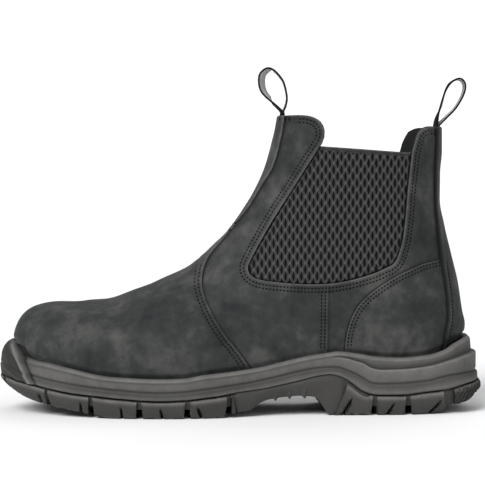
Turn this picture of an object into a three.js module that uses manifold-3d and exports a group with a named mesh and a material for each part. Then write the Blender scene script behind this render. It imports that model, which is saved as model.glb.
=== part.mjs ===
// Pull-on safety boot with elastic side gores: a hollow leather upper on a moulded two-part sole.
// Millimetres, +Z up. The toe points to -X and the outer side of this left boot to -Y.
import * as THREE from 'three';
import { mergeVertices } from 'three/addons/utils/BufferGeometryUtils.js';
import Module from 'manifold-3d';

const wasm = await Module();
wasm.setup();

// Driving sizes
const LAST_LENGTH = 287; // bottom of the last, toe to heel
const LAST_WIDTH = 95; // bottom of the last across the ball
const COLLAR_HEIGHT = 189; // ground to the front of the collar
const SOLE_REACH = 10; // how far the sole stands out from the last at the toe
const SOLE_RISE = 40; // ground to the sole's edge at the waist
const SEAT_RISE = 29; // ground to the heel seat inside the sole
const UPPER_WALL = 2.4; // leather with its lining
const OVERLAY = 1.1; // leather laid over the wall
const GORE_WALL = 1.6; // elastic with its lining
const GORE_SINK = 0.5; // gore surface below the leather wall's surface
const INSOLE_THICKNESS = 4;
const INSOLE_PLAY = 1.6; // insole to the inside of the wall
const INSOLE_DRAFT = 1; // top edge of the insole in from its foot
const BUMPER_STEP = 1.5; // toe bumper proud of the side wall
const LUG_DEPTH = 5.5;
const LUG_GAP = 4.5;
const STRAP_WIDTH = 14;
const STRAP_THICKNESS = 1.3;
const STRAP_TAIL = 12; // stretch of the loops sewn inside the collar
const LOOP_HEIGHT = 31;
const CLEARANCE = 0.3;

// Mesh density
const OUTLINE_STEPS = 3; // stations between two rows of the last's bottom
const SECTION_ROWS = 26;
const SIDE_COLUMNS = 10; // faces from the feather edge to the ridge, each side
const TRACE_STEPS = 40; // fine steps along a section before it is divided evenly
const VAMP_FOOT_STEPS = 36; // along the rim under each overlay
const COUNTER_FOOT_STEPS = 10;
const STRIP_FOOT_STEPS = 8;
const GROOVE_STEPS = 10;

// Names the columns of a table written as rows.
function table(names, rows) {
  return Object.fromEntries(names.map((name, i) => [name, rows.map((row) => row[i])]));
}

// Bottom of the last from the toe to the heel: shares of its length and width, outer side negative.
const LAST_BOTTOM = table(['along', 'outer', 'inner'], [
  [0, 0.053, 0.053],
  [0.01, -0.095, 0.198],
  [0.028, -0.18, 0.282],
  [0.059, -0.272, 0.358],
  [0.108, -0.362, 0.421],
  [0.174, -0.438, 0.462],
  [0.237, -0.49, 0.479],
  [0.303, -0.516, 0.468],
  [0.369, -0.521, 0.432],
  [0.453, -0.49, 0.363],
  [0.537, -0.437, 0.305],
  [0.62, -0.4, 0.284],
  [0.704, -0.384, 0.295],
  [0.787, -0.384, 0.321],
  [0.871, -0.374, 0.342],
  [0.934, -0.326, 0.316],
  [0.972, -0.237, 0.247],
  [0.993, -0.132, 0.147],
  [1, 0.008, 0.008],
]);
const HEEL_ROW = LAST_BOTTOM.along.length - 1;

// Sections of the upper, fanned from the toe to the collar. Top point: shares of last length and
// collar height. Seat: row of the last's bottom. Rise: foot of the section up the back, as a share
// of collar height. Half widths from the ridge: shares of last width. Widest: share of the section's
// height. Crown and skirt: roundness above and below the widest place.
const SECTIONS = table(
  ['topX', 'topZ', 'seat', 'rise', 'ridge', 'outer', 'inner', 'widest', 'crown', 'skirt'],
  [
    [0, 0.131, 0, 0, 0.053, 0, 0, 0.5, 2.4, 2.4],
    [-0.0084, 0.175, 0.9, 0, 0.053, 0.145, 0.145, 0.5, 2.3, 2.3],
    [-0.0111, 0.233, 2.0, 0, 0.053, 0.255, 0.25, 0.45, 2.3, 2.3],
    [-0.0049, 0.282, 3.0, 0, 0.053, 0.35, 0.33, 0.4, 2.3, 2.3],
    [0.0105, 0.323, 3.7, 0, 0.053, 0.415, 0.376, 0.36, 2.3, 2.3],
    [0.0366, 0.35, 4.4, 0, 0.053, 0.469, 0.41, 0.33, 2.3, 2.3],
    [0.08, 0.3646, 5.2, 0, 0.053, 0.521, 0.434, 0.31, 2.3, 2.4],
    [0.15, 0.366, 6.3, 0, 0.0505, 0.564, 0.445, 0.29, 2.25, 2.4],
    [0.2195, 0.3847, 7.3, 0, 0.046, 0.579, 0.432, 0.27, 2.25, 2.4],
    [0.289, 0.423, 8.3, 0, 0.04, 0.568, 0.396, 0.25, 2.15, 2.4],
    [0.352, 0.462, 9.3, 0, 0.032, 0.526, 0.35, 0.24, 2.05, 2.4],
    [0.404, 0.513, 10.4, 0, 0.023, 0.479, 0.326, 0.26, 2.0, 2.4],
    [0.4495, 0.578, 11.6, 0, 0.016, 0.442, 0.337, 0.29, 2.0, 2.4],
    [0.488, 0.6455, 12.9, 0, 0.0105, 0.421, 0.358, 0.33, 2.0, 2.5],
    [0.5157, 0.706, 14.2, 0, 0.008, 0.402, 0.368, 0.38, 2.05, 2.5],
    [0.535, 0.76, 15.6, 0, 0.008, 0.393, 0.37, 0.42, 2.1, 2.4],
    [0.5477, 0.803, 17.0, 0, 0.008, 0.387, 0.37, 0.45, 2.2, 2.3],
    [0.5568, 0.841, 18, 0, 0.008, 0.384, 0.37, 0.47, 2.2, 2.2],
    [0.5638, 0.877, 18, 0.3, 0.006, 0.381, 0.371, 0.49, 2.2, 2.15],
    [0.57, 0.914, 18, 0.49, 0.004, 0.379, 0.374, 0.5, 2.2, 2.15],
    [0.576, 0.952, 18, 0.7, 0, 0.379, 0.379, 0.5, 2.2, 2.15],
    [0.5833, 1.016, 18, 0.985, 0, 0.379, 0.379, 0.5, 2.2, 2.15],
  ],
);

// Back of the boot above the heel seat: shares of collar height and last length.
const BACK_LINE = table(['height', 'along'], [
  [0.15, 1],
  [0.249, 1.0045],
  [0.286, 1.007],
  [0.33, 1.001],
  [0.43, 0.9906],
  [0.53, 0.9744],
  [0.63, 0.9585],
  [0.72, 0.9487],
  [0.8, 0.949],
  [0.88, 0.953],
  [1, 0.9526],
]);

// Floor that the upper and insole stand on: shares of last length and seat rise.
const SEAT_LINE = table(['along', 'height'], [
  [0, 0.845],
  [0.15, 0.69],
  [0.324, 0.603],
  [0.498, 0.69],
  [0.672, 0.93],
  [0.777, 1],
  [1, 1.017],
]);

// Lines round the sole's side, toe to heel: share of last length, then heights as shares of the
// sole's rise. Rim: the edge against the leather. Ledge: the step under it, deep only at the heel.
// Band: the groove along the side. Parting: where midsole and outsole meet. Tread: the underside.
const SOLE_LINES = table(['along', 'rim', 'ledge', 'band', 'parting', 'tread'], [
  [0, 1.125, 1.035, 0.775, 0.6, 0.33],
  [0.016, 1.09, 0.98, 0.73, 0.575, 0.28],
  [0.028, 0.965, 0.88, 0.685, 0.545, 0.25],
  [0.042, 0.89, 0.8, 0.65, 0.515, 0.22],
  [0.087, 0.82, 0.74, 0.565, 0.43, 0.15],
  [0.136, 0.74, 0.66, 0.5, 0.365, 0.09],
  [0.185, 0.665, 0.59, 0.46, 0.335, 0.025],
  [0.215, 0.64, 0.565, 0.44, 0.315, 0],
  [0.317, 0.61, 0.535, 0.395, 0.273, 0],
  [0.366, 0.62, 0.545, 0.41, 0.285, 0],
  [0.41, 0.67, 0.595, 0.445, 0.315, 0],
  [0.445, 0.695, 0.62, 0.475, 0.345, 0],
  [0.478, 0.72, 0.65, 0.51, 0.39, 0.065],
  [0.51, 0.75, 0.675, 0.54, 0.415, 0.1],
  [0.53, 0.77, 0.7, 0.565, 0.43, 0.2],
  [0.56, 0.815, 0.74, 0.605, 0.467, 0.27],
  [0.62, 0.908, 0.833, 0.7, 0.555, 0.305],
  [0.655, 0.955, 0.88, 0.74, 0.615, 0.28],
  [0.672, 0.97, 0.895, 0.75, 0.635, 0.14],
  [0.687, 0.985, 0.91, 0.755, 0.645, 0],
  [0.703, 1, 0.925, 0.75, 0.625, 0],
  [0.725, 0.99, 0.905, 0.7, 0.56, 0],
  [0.744, 0.97, 0.865, 0.645, 0.458, 0],
  [0.76, 0.953, 0.83, 0.578, 0.378, 0],
  [0.78, 0.925, 0.75, 0.5, 0.327, 0],
  [0.8, 0.91, 0.725, 0.485, 0.315, 0],
  [0.84, 0.898, 0.73, 0.49, 0.313, 0],
  [0.9, 0.93, 0.775, 0.53, 0.36, 0],
  [0.94, 1.01, 0.85, 0.6, 0.4, 0],
  [0.965, 1.11, 0.9, 0.62, 0.45, 0],
  [1, 1.1875, 0.955, 0.635, 0.5, 0.02],
]);

// Rings down the midsole: a line of the sole, a step below it, and the reach past the last at the
// toe, along the side and at the heel. Steps are shares of the sole's rise, reaches of its reach.
const RING_COLUMNS = ['line', 'step', 'toe', 'side', 'heel'];
const MIDSOLE_RINGS = table(RING_COLUMNS, [
  ['rim', 0, 0.44, 0.34, 0.3],
  ['rim', -0.045, 0.7, 0.5, 0.5],
  ['ledge', 0, 0.83, 0.56, 0.62],
  ['ledge', -0.03, 0.85, 0.57, 0.85],
  ['band', 0.03, 0.92, 0.56, 0.88],
  ['band', 0, 0.84, 0.46, 0.8],
  ['band', -0.03, 0.98, 0.54, 0.98],
  ['parting', 0, 0.92, 0.43, 1.0],
]);
// Rings down the outsole. The tread's share leads from the parting line to the underside.
const OUTSOLE_RINGS = table(['drop', 'toe', 'side', 'heel'], [
  [0, 0.92, 0.43, 1.0],
  [0.16, 1.02, 0.6, 1.16],
  [0.5, 0.85, 0.55, 1.1],
  [1, 0.25, 0.36, 0.0],
]);

// Gaps between the forefoot and heel lugs: place along the last and turn in degrees.
const LUG_GAPS = table(['along', 'turn'], [
  [0.105, 24],
  [0.195, 14],
  [0.283, 5],
  [0.365, -4],
  [0.437, -12],
  [0.775, -6],
  [0.873, 8],
]);
const CENTRE_GROOVE = 0.14; // half spacing of the grooves along the tread, share of last width
const GROOVE_SPAN = { from: 0.06, to: 0.45 };

// Shares of last length: the ends of the sole where its side changes to toe and heel, and the toe
// bumper with its step down to the side.
const TOE_ZONE = 0.15;
const HEEL_ZONE = 0.15;
const BUMPER = { back: 0.03, step: 0.012 };

// Collar and gore window, seen from the side: shares of last length and collar height.
const FRONT_TAB = table(['along', 'height'], [
  [0.613, 0.998],
  [0.6247, 0.9975],
  [0.6425, 0.994],
  [0.66, 0.9825],
  [0.6714, 0.965],
  [0.6756, 0.9407],
  [0.6735, 0.9138],
  [0.6659, 0.8926],
]);
const GORE_EDGE = table(['along', 'height'], [
  [0.6659, 0.8926],
  [0.622, 0.786],
  [0.578, 0.68],
  [0.5387, 0.5804],
  [0.5146, 0.5138],
  [0.509, 0.487],
  [0.5167, 0.464],
  [0.5387, 0.4487],
  [0.5993, 0.4376],
  [0.6655, 0.434],
  [0.7206, 0.442],
  [0.7756, 0.4635],
  [0.8084, 0.4831],
  [0.833, 0.505],
  [0.849, 0.562],
  [0.858, 0.6455],
  [0.8641, 0.7296],
  [0.8707, 0.8132],
  [0.8742, 0.8698],
]);
const REAR_TAB = table(['along', 'height'], [
  [0.8742, 0.8698],
  [0.8812, 0.9042],
  [0.8878, 0.933],
  [0.899, 0.9503],
  [0.9147, 0.9598],
  [0.93, 0.9603],
]);

// Edges of the leather overlays, seen from the side: shares of last length and collar height.
const VAMP_EDGE = table(['along', 'height'], [
  [0.594, 1.02],
  [0.592, 0.991],
  [0.5833, 0.9138],
  [0.568, 0.83],
  [0.539, 0.753],
  [0.513, 0.687],
  [0.48, 0.628],
  [0.45, 0.572],
  [0.426, 0.526],
  [0.413, 0.483],
  [0.4084, 0.4365],
  [0.415, 0.39],
  [0.4324, 0.331],
  [0.4564, 0.271],
  [0.4847, 0.218],
  [0.516, 0.15],
]);
const STRIP_EDGE = table(['along', 'height'], [
  [0.934, 1.02],
  [0.934, 0.915],
  [0.9317, 0.813],
  [0.933, 0.712],
  [0.9355, 0.61],
  [0.9404, 0.525],
  [0.9484, 0.44],
  [0.953, 0.372],
  [0.9544, 0.3106],
  [0.947, 0.249],
  [0.939, 0.15],
]);
const COUNTER_EDGE = table(['along', 'height'], [
  [0.9355, 0.51],
  [0.9, 0.4995],
  [0.872, 0.483],
  [0.838, 0.4605],
  [0.804, 0.43],
  [0.775, 0.398],
  [0.752, 0.362],
  [0.7365, 0.322],
  [0.727, 0.278],
  [0.7225, 0.236],
  [0.721, 0.15],
]);

// Loops from their front leg over the top to their rear leg: shares of loop height from the foot.
const FRONT_LOOP = table(['across', 'up'], [
  [-0.06, 0.055],
  [-0.16, 0.11],
  [-0.288, 0.21],
  [-0.433, 0.335],
  [-0.563, 0.49],
  [-0.621, 0.687],
  [-0.595, 0.865],
  [-0.478, 0.98],
  [-0.358, 0.95],
  [-0.228, 0.8],
  [-0.128, 0.59],
  [-0.088, 0.375],
  [-0.075, 0.21],
  [-0.025, 0.09],
]);
const REAR_LOOP = table(['across', 'up'], [
  [0.11, 0.11],
  [0.177, 0.28],
  [0.242, 0.57],
  [0.332, 0.8],
  [0.457, 0.96],
  [0.622, 1],
  [0.702, 0.88],
  [0.694, 0.69],
  [0.632, 0.53],
  [0.492, 0.34],
  [0.332, 0.175],
  [0.202, 0.075],
]);
// Where the loops leave the collar, and the slope of their sewn tails along the wall.
const FRONT_FOOT = { along: 0.6064, height: 0.996, slope: 0.17 };
const REAR_FOOT = { along: 0.927, height: 0.961, slope: 0 };

const lastX = (along) => (along - 0.5) * LAST_LENGTH;
const tall = (share) => share * COLLAR_HEIGHT;

// Value of one column at a place counted in rows: a smooth curve through all of them.
function rowValue(column, place, before = column[0], after = column[column.length - 1]) {
  const row = Math.min(Math.floor(place), column.length - 2);
  const at = (i) => (i < 0 ? before : i >= column.length ? after : column[i]);
  const [a, b, c, d] = [at(row - 1), at(row), at(row + 1), at(row + 2)];
  const t = place - row;
  return b + 0.5 * t * (c - a + t * (2 * a - 5 * b + 4 * c - d + t * (3 * (b - c) + d - a)));
}

// Value of one column where another one, which only rises, has the given value. No overshoot.
function lineValue(keys, values, key) {
  const last = keys.length - 1;
  const clamped = Math.min(Math.max(key, keys[0]), keys[last]);
  const row = Math.min(keys.findIndex((k, i) => i < last && clamped <= keys[i + 1]), last - 1);
  const slope = (i) => (values[i + 1] - values[i]) / (keys[i + 1] - keys[i]);
  const tangent = (i) => {
    if (i === 0 || i === last) return slope(i === 0 ? 0 : last - 1);
    const [s, t] = [slope(i - 1), slope(i)];
    return s * t <= 0 ? 0 : (2 * s * t) / (s + t);
  };
  const width = keys[row + 1] - keys[row];
  const t = (clamped - keys[row]) / width;
  const [t2, t3] = [t * t, t * t * t];
  return values[row] * (2 * t3 - 3 * t2 + 1) + values[row + 1] * (3 * t2 - 2 * t3)
    + width * (tangent(row) * (t3 - 2 * t2 + t) + tangent(row + 1) * (t3 - t2));
}

const soleLine = (name, along) => SOLE_RISE * lineValue(SOLE_LINES.along, SOLE_LINES[name], along);
const seatHeight = (along) => SEAT_RISE * lineValue(SEAT_LINE.along, SEAT_LINE.height, along);
const smoothStep = (t) => THREE.MathUtils.smoothstep(t, 0, 1);

// Point of the last's bottom at a place counted in rows, moved out by a reach. Side: -1 or 1.
function bottomPoint(place, side, reach = 0) {
  const { along, outer, inner } = LAST_BOTTOM;
  const [near, far] = side < 0 ? [outer, inner] : [inner, outer];
  const locate = (at) => new THREE.Vector2(
    lastX(rowValue(along, at, along[1], along[HEEL_ROW - 1])),
    LAST_WIDTH * rowValue(near, at, far[1], far[HEEL_ROW - 1]),
  );
  const probe = 0.02;
  const from = locate(Math.max(place - probe, 0));
  const to = locate(Math.min(place + probe, HEEL_ROW));
  let out = new THREE.Vector2(side * -(to.y - from.y), side * (to.x - from.x)).normalize();
  if (place === 0) out = new THREE.Vector2(-1, 0);
  if (place === HEEL_ROW) out = new THREE.Vector2(1, 0);
  return locate(place).addScaledVector(out, reach);
}

// Foot of a section: x, height, and how far its two ends lie from the ridge.
function sectionFoot(v) {
  const seat = rowValue(SECTIONS.seat, v);
  const rise = tall(rowValue(SECTIONS.rise, v));
  const place = THREE.MathUtils.clamp(seat, 0, HEEL_ROW);
  const ridge = LAST_WIDTH * rowValue(SECTIONS.ridge, v);
  const along = rowValue(LAST_BOTTOM.along, place, LAST_BOTTOM.along[1], 1);
  const floor = seatHeight(along) + CLEARANCE;
  const onBack = place > HEEL_ROW - 0.01;
  if (onBack && rise > floor) {
    const back = lineValue(BACK_LINE.height, BACK_LINE.along, rise / COLLAR_HEIGHT);
    return { x: lastX(back), z: rise, ridge, outer: 0, inner: 0, closed: true };
  }
  if (onBack) return { x: lastX(1), z: floor, ridge, outer: 0, inner: 0, closed: true };
  const outer = Math.max(ridge - bottomPoint(place, -1).y, 0);
  const inner = Math.max(bottomPoint(place, 1).y - ridge, 0);
  return { x: lastX(along), z: floor, ridge, outer, inner, closed: false };
}

// One side of a section, evenly divided from its foot to the ridge.
function sectionSide(v, side, foot) {
  const half = LAST_WIDTH * rowValue(side < 0 ? SECTIONS.outer : SECTIONS.inner, v);
  const end = side < 0 ? foot.outer : foot.inner;
  const [widest, crown, skirt] = ['widest', 'crown', 'skirt'].map((n) => rowValue(SECTIONS[n], v));
  const top = { x: lastX(rowValue(SECTIONS.topX, v)), z: tall(rowValue(SECTIONS.topZ, v)) };
  const ratio = THREE.MathUtils.clamp(half > 0 ? end / half : 0, 0, 0.995);
  const tuck = Math.acos(ratio ** (skirt / 2));
  const tuckShare = Math.sin(tuck) ** (2 / skirt);
  const trace = [];
  for (let i = 0; i <= 2 * TRACE_STEPS; i += 1) {
    const below = i < TRACE_STEPS;
    const power = 2 / (below ? skirt : crown);
    const angle = below ? tuck * (1 - i / TRACE_STEPS) : (Math.PI / 2) * (i / TRACE_STEPS - 1);
    const across = Math.max(Math.cos(angle), 0) ** power;
    const climb = Math.sin(angle) ** power;
    const share = below ? widest * (1 - climb / tuckShare) : widest + (1 - widest) * climb;
    trace.push(new THREE.Vector3(
      foot.x + (top.x - foot.x) * share,
      foot.ridge + side * half * across,
      foot.z + (top.z - foot.z) * share,
    ));
  }
  return divideEvenly(trace, SIDE_COLUMNS);
}

// Points at equal distances along a trace.
function divideEvenly(trace, count) {
  const reached = [0];
  for (let i = 1; i < trace.length; i += 1) {
    reached.push(reached[i - 1] + trace[i].distanceTo(trace[i - 1]));
  }
  const whole = reached[trace.length - 1];
  const points = [];
  for (let k = 0, i = 1; k <= count; k += 1) {
    const goal = (whole * k) / count;
    while (i < trace.length - 1 && reached[i] < goal) i += 1;
    const step = reached[i] - reached[i - 1];
    const t = step > 0 ? (goal - reached[i - 1]) / step : 0;
    points.push(trace[i - 1].clone().lerp(trace[i], THREE.MathUtils.clamp(t, 0, 1)));
  }
  return points;
}

// The upper's outside as a grid of shared vertices with their outward directions.
function upperForm() {
  const points = [];
  const rows = [];
  const columns = 2 * SIDE_COLUMNS;
  for (let r = 0; r <= SECTION_ROWS; r += 1) {
    const v = (r * (SECTIONS.topX.length - 1)) / SECTION_ROWS;
    const foot = sectionFoot(v);
    if (r === 0) {
      rows.push(new Array(columns + 1).fill(0));
      points.push(new THREE.Vector3(foot.x, foot.ridge, foot.z));
      continue;
    }
    const line = [...sectionSide(v, -1, foot), ...sectionSide(v, 1, foot).reverse().slice(1)];
    if (foot.closed) line.pop();
    const row = line.map((point) => points.push(point) - 1);
    if (foot.closed) row.push(row[0]);
    rows.push(row);
  }
  const faces = [];
  for (let r = 0; r < SECTION_ROWS; r += 1) {
    for (let c = 0; c < columns; c += 1) {
      const [a, b, e, d] = [rows[r][c], rows[r][c + 1], rows[r + 1][c + 1], rows[r + 1][c]];
      const pair = c < SIDE_COLUMNS ? [[a, d, e], [a, e, b]] : [[a, d, b], [d, e, b]];
      faces.push(...pair.filter((face) => new Set(face).size === 3));
    }
  }
  return { points, faces, rows, outward: outwardDirections(points, faces, rows) };
}

// Directions in which the form grows: face normals averaged, level along the feather edge.
function outwardDirections(points, faces, rows) {
  const outward = points.map(() => new THREE.Vector3());
  const triangle = new THREE.Triangle();
  const normal = new THREE.Vector3();
  for (const face of faces) {
    triangle.set(...face.map((i) => points[i]));
    triangle.getNormal(normal).multiplyScalar(triangle.getArea());
    face.forEach((i) => outward[i].add(normal));
  }
  for (const row of rows) {
    for (const end of [row[0], row[row.length - 1]]) {
      if (row[0] !== row[row.length - 1] || row === rows[0]) outward[end].z = 0;
    }
  }
  return outward.map((direction) => direction.normalize());
}

// Closed mesh from a list of points and triangles.
function meshFrom(points, faces) {
  const geometry = new THREE.BufferGeometry();
  geometry.setAttribute('position', new THREE.Float32BufferAttribute(points.flatMap((p) => [...p]), 3));
  geometry.setIndex(faces.flat());
  return geometry;
}

// Edges that only one face has, each in that face's own direction.
function openEdges(faces) {
  const edges = new Map();
  for (const [a, b, c] of faces) {
    for (const [from, to] of [[a, b], [b, c], [c, a]]) {
      if (!edges.delete(`${to},${from}`)) edges.set(`${from},${to}`, [from, to]);
    }
  }
  return [...edges.values()];
}

// A wall between two distances from the form, both measured outwards.
function wallOf(form, outside, inside) {
  const shift = (distance) => form.points.map((p, i) => p.clone().addScaledVector(form.outward[i], distance));
  const count = form.points.length;
  const faces = [...form.faces, ...form.faces.map(([a, b, c]) => [a + count, c + count, b + count])];
  for (const [from, to] of openEdges(form.faces)) {
    faces.push([to, from, from + count], [to, from + count, to + count]);
  }
  return solid(meshFrom([...shift(outside), ...shift(inside)], faces));
}

// The form as one full body: closed across the collar, and flat underneath, a little lower.
function fullBody(form, distance, drop) {
  const points = form.points.map((p, i) => p.clone().addScaledVector(form.outward[i], distance));
  const faces = [...form.faces];
  const { rows } = form;
  const foot = new Map();
  const lowered = (i) => {
    if (!foot.has(i)) foot.set(i, points.push(points[i].clone().setZ(points[i].z - drop)) - 1);
    return foot.get(i);
  };
  const open = rows.filter((row) => row === rows[0] || row[0] !== row[row.length - 1]);
  const heel = rows[open.length];
  for (const [lower, upper] of [...open, heel].slice(0, -1).map((row, i, all) => [row, all[i + 1] ?? heel])) {
    const [a, b] = [lower[0], lower[lower.length - 1]];
    const [c, d] = [upper[0], upper[upper.length - 1]];
    faces.push([c, a, lowered(a)], [c, lowered(a), lowered(c)]);
    faces.push([b, d, lowered(d)], [b, lowered(d), lowered(b)]);
    faces.push([lowered(a), lowered(b), lowered(d)], [lowered(a), lowered(d), lowered(c)]);
  }
  const collar = rows[rows.length - 1];
  const centre = collar.slice(1).reduce((sum, i) => sum.add(points[i]), new THREE.Vector3());
  const hub = points.push(centre.divideScalar(collar.length - 1)) - 1;
  for (let c = 0; c < collar.length - 1; c += 1) faces.push([collar[c], hub, collar[c + 1]]);
  return solid(meshFrom(points, faces.filter((face) => new Set(face).size === 3)));
}

// Solid for joining and cutting, from a closed geometry.
function solid(geometry) {
  const bare = geometry.clone();
  bare.deleteAttribute('normal');
  bare.deleteAttribute('uv');
  const merged = mergeVertices(bare, 1e-4);
  const vertProperties = new Float32Array(merged.attributes.position.array);
  const triVerts = new Uint32Array(merged.index.array);
  return new wasm.Manifold(new wasm.Mesh({ numProp: 3, vertProperties, triVerts }));
}

// Geometry of a solid, ready for a mesh.
function geometryOf(body) {
  const { vertProperties, triVerts } = body.getMesh();
  const geometry = new THREE.BufferGeometry();
  geometry.setAttribute('position', new THREE.BufferAttribute(new Float32Array(vertProperties), 3));
  geometry.setIndex(new THREE.BufferAttribute(new Uint32Array(triVerts), 1));
  geometry.computeVertexNormals();
  return geometry;
}

// Outline without the points that lie on a straight stretch, which would split a face's side.
function corners(outline) {
  return outline.filter((point, i) => {
    const before = outline[(i + outline.length - 1) % outline.length];
    const after = outline[(i + 1) % outline.length];
    return Math.abs(point.clone().sub(before).cross(after.clone().sub(point))) > 1e-4;
  });
}

// Prism across the boot from an outline seen from the side, between two places along Y.
function prism(outline, fromY, toY) {
  const shape = new THREE.Shape(corners(outline));
  const geometry = new THREE.ExtrudeGeometry(shape, { depth: toY - fromY, bevelEnabled: false, steps: 1 });
  geometry.rotateX(Math.PI / 2);
  geometry.translate(0, toY, 0);
  return solid(geometry);
}

// Smooth line through the rows of an edge table, in millimetres, seen from the side.
function edgeLine(edge, steps = 2) {
  const points = edge.along.map((along, i) => new THREE.Vector2(lastX(along), tall(edge.height[i])));
  return new THREE.SplineCurve(points).getPoints((points.length - 1) * steps);
}

// Outline moved sideways: to the left of its direction for a positive distance.
function shiftLine(line, distance) {
  return line.map((point, i) => {
    const before = line[Math.max(i - 1, 0)];
    const after = line[Math.min(i + 1, line.length - 1)];
    const along = after.clone().sub(before).normalize();
    return new THREE.Vector2(point.x - along.y * distance, point.y + along.x * distance);
  });
}

// The cutting prisms run past the boot on every side.
const aboveCollar = tall(1.2);
const beyondToe = lastX(-0.2);
const beyondHeel = lastX(1.2);
const cutReach = LAST_WIDTH;
const at = (x, z) => new THREE.Vector2(x, z);
const alongOf = (point) => point.x / LAST_LENGTH + 0.5;

// Leather cut away above the collar and in the two gore windows.
function throatOutline() {
  const front = edgeLine(FRONT_TAB);
  const window = edgeLine(GORE_EDGE);
  const rear = edgeLine(REAR_TAB);
  return [
    at(beyondToe, aboveCollar),
    at(beyondToe, front[0].y),
    ...front.slice(0, -1),
    ...window.slice(0, -1),
    ...rear,
    at(beyondHeel, rear[rear.length - 1].y),
    at(beyondHeel, aboveCollar),
  ];
}

const goreOutline = () => shiftLine(edgeLine(GORE_EDGE), CLEARANCE);

// Outline that follows the sole's rim at a clearance, between two places along the boot.
function rimLine(from, to, count) {
  return Array.from({ length: count + 1 }, (_, i) => {
    const x = THREE.MathUtils.lerp(from, to, i / count);
    return at(x, soleLine('rim', x / LAST_LENGTH + 0.5) + CLEARANCE);
  });
}

const overlayOutside = 0;
const overlayInside = -OVERLAY;
const wallOutside = overlayInside - CLEARANCE;
const wallInside = wallOutside - UPPER_WALL;

function buildUpper(form) {
  return wallOf(form, wallOutside, wallInside).subtract(prism(throatOutline(), -cutReach, cutReach));
}

function buildGore(form, side) {
  const outside = wallOutside - GORE_SINK;
  const panel = prism(goreOutline(), side < 0 ? -cutReach : 0, side < 0 ? 0 : cutReach);
  return wallOf(form, outside, outside - GORE_WALL).intersect(panel);
}

const overlayShell = (form) => wallOf(form, overlayOutside, overlayInside)
  .subtract(prism(throatOutline(), -cutReach, cutReach));

// Part of a line that stays above the sole's rim.
const aboveRim = (line) => line.filter((p) => p.y > soleLine('rim', alongOf(p)) + CLEARANCE);

function buildVamp(form) {
  const edge = aboveRim(edgeLine(VAMP_EDGE));
  const foot = rimLine(edge[edge.length - 1].x, beyondToe, VAMP_FOOT_STEPS);
  const outline = [at(beyondToe, aboveCollar), ...edge, ...foot];
  return overlayShell(form).intersect(prism(outline, -cutReach, cutReach));
}

function buildBackStrip(form) {
  const edge = aboveRim(shiftLine(edgeLine(STRIP_EDGE), CLEARANCE / 2));
  const foot = rimLine(edge[edge.length - 1].x, beyondHeel, STRIP_FOOT_STEPS);
  const outline = [...edge, ...foot, at(beyondHeel, aboveCollar)];
  return overlayShell(form).intersect(prism(outline, -cutReach, cutReach));
}

function buildCounter(form, side) {
  const top = COUNTER_EDGE.height[0] * COLLAR_HEIGHT;
  const rear = aboveRim(shiftLine(edgeLine(STRIP_EDGE), -CLEARANCE / 2)).filter((p) => p.y < top);
  const front = aboveRim(edgeLine(COUNTER_EDGE)).reverse();
  const foot = rimLine(rear[rear.length - 1].x, front[0].x, COUNTER_FOOT_STEPS);
  const outline = [...rear, ...foot, ...front];
  const half = prism(outline, side < 0 ? -cutReach : 0, side < 0 ? 0 : cutReach);
  return overlayShell(form).intersect(half);
}

// Stations round the last's bottom, and how much of toe, side and heel each one has.
function soleStations() {
  const count = HEEL_ROW * OUTLINE_STEPS;
  return Array.from({ length: count + 1 }, (_, i) => {
    const place = i / OUTLINE_STEPS;
    const along = rowValue(LAST_BOTTOM.along, place, LAST_BOTTOM.along[1], LAST_BOTTOM.along[HEEL_ROW - 1]);
    const toe = 1 - smoothStep(along / TOE_ZONE);
    const heel = 1 - smoothStep((1 - along) / HEEL_ZONE);
    const bumper = BUMPER_STEP * (1 - smoothStep((along - BUMPER.back) / BUMPER.step));
    return { place, along, toe, heel, bumper };
  });
}

const mixReach = (station, toe, side, heel) => SOLE_REACH
  * (side + (toe - side) * station.toe + (heel - side) * station.heel);

// Solid between rings round the last's bottom, from the top one down. A ring gives each station's
// reach and height. The flat ends are ruled straight across the boot.
function ringSolid(stations, rings) {
  const points = [];
  const lines = rings.map((ring) => {
    const row = stations.map((station) => {
      const { reach, height } = ring(station);
      const tip = station.place === 0 || station.place === HEEL_ROW;
      const add = (side) => {
        const { x, y } = bottomPoint(station.place, side, reach);
        return points.push(new THREE.Vector3(x, y, height)) - 1;
      };
      const outer = add(-1);
      return { outer, inner: tip ? outer : add(1) };
    });
    return row;
  });
  const faces = [];
  const quad = (a, b, c, d) => faces.push([a, b, c], [a, c, d]);
  for (let i = 0; i < stations.length - 1; i += 1) {
    for (let r = 0; r < lines.length - 1; r += 1) {
      const [upper, lower] = [lines[r], lines[r + 1]];
      quad(upper[i].outer, lower[i].outer, lower[i + 1].outer, upper[i + 1].outer);
      quad(upper[i + 1].inner, lower[i + 1].inner, lower[i].inner, upper[i].inner);
    }
    const [top, bottom] = [lines[0], lines[lines.length - 1]];
    quad(top[i].outer, top[i + 1].outer, top[i + 1].inner, top[i].inner);
    quad(bottom[i].outer, bottom[i].inner, bottom[i + 1].inner, bottom[i + 1].outer);
  }
  return solid(meshFrom(points, faces.filter((face) => new Set(face).size === 3)));
}

function buildMidsole(form, stations) {
  const rings = MIDSOLE_RINGS.line.map((line, r) => (station) => {
    const [toe, side, heel] = ['toe', 'side', 'heel'].map((name) => MIDSOLE_RINGS[name][r]);
    const proud = r === 0 ? 0 : station.bumper;
    return {
      reach: mixReach(station, toe, side, heel) + proud,
      height: soleLine(line, station.along) + MIDSOLE_RINGS.step[r] * SOLE_RISE,
    };
  });
  const cup = fullBody(form, wallOutside + CLEARANCE, CLEARANCE);
  return ringSolid(stations, rings).subtract(cup);
}

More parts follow.
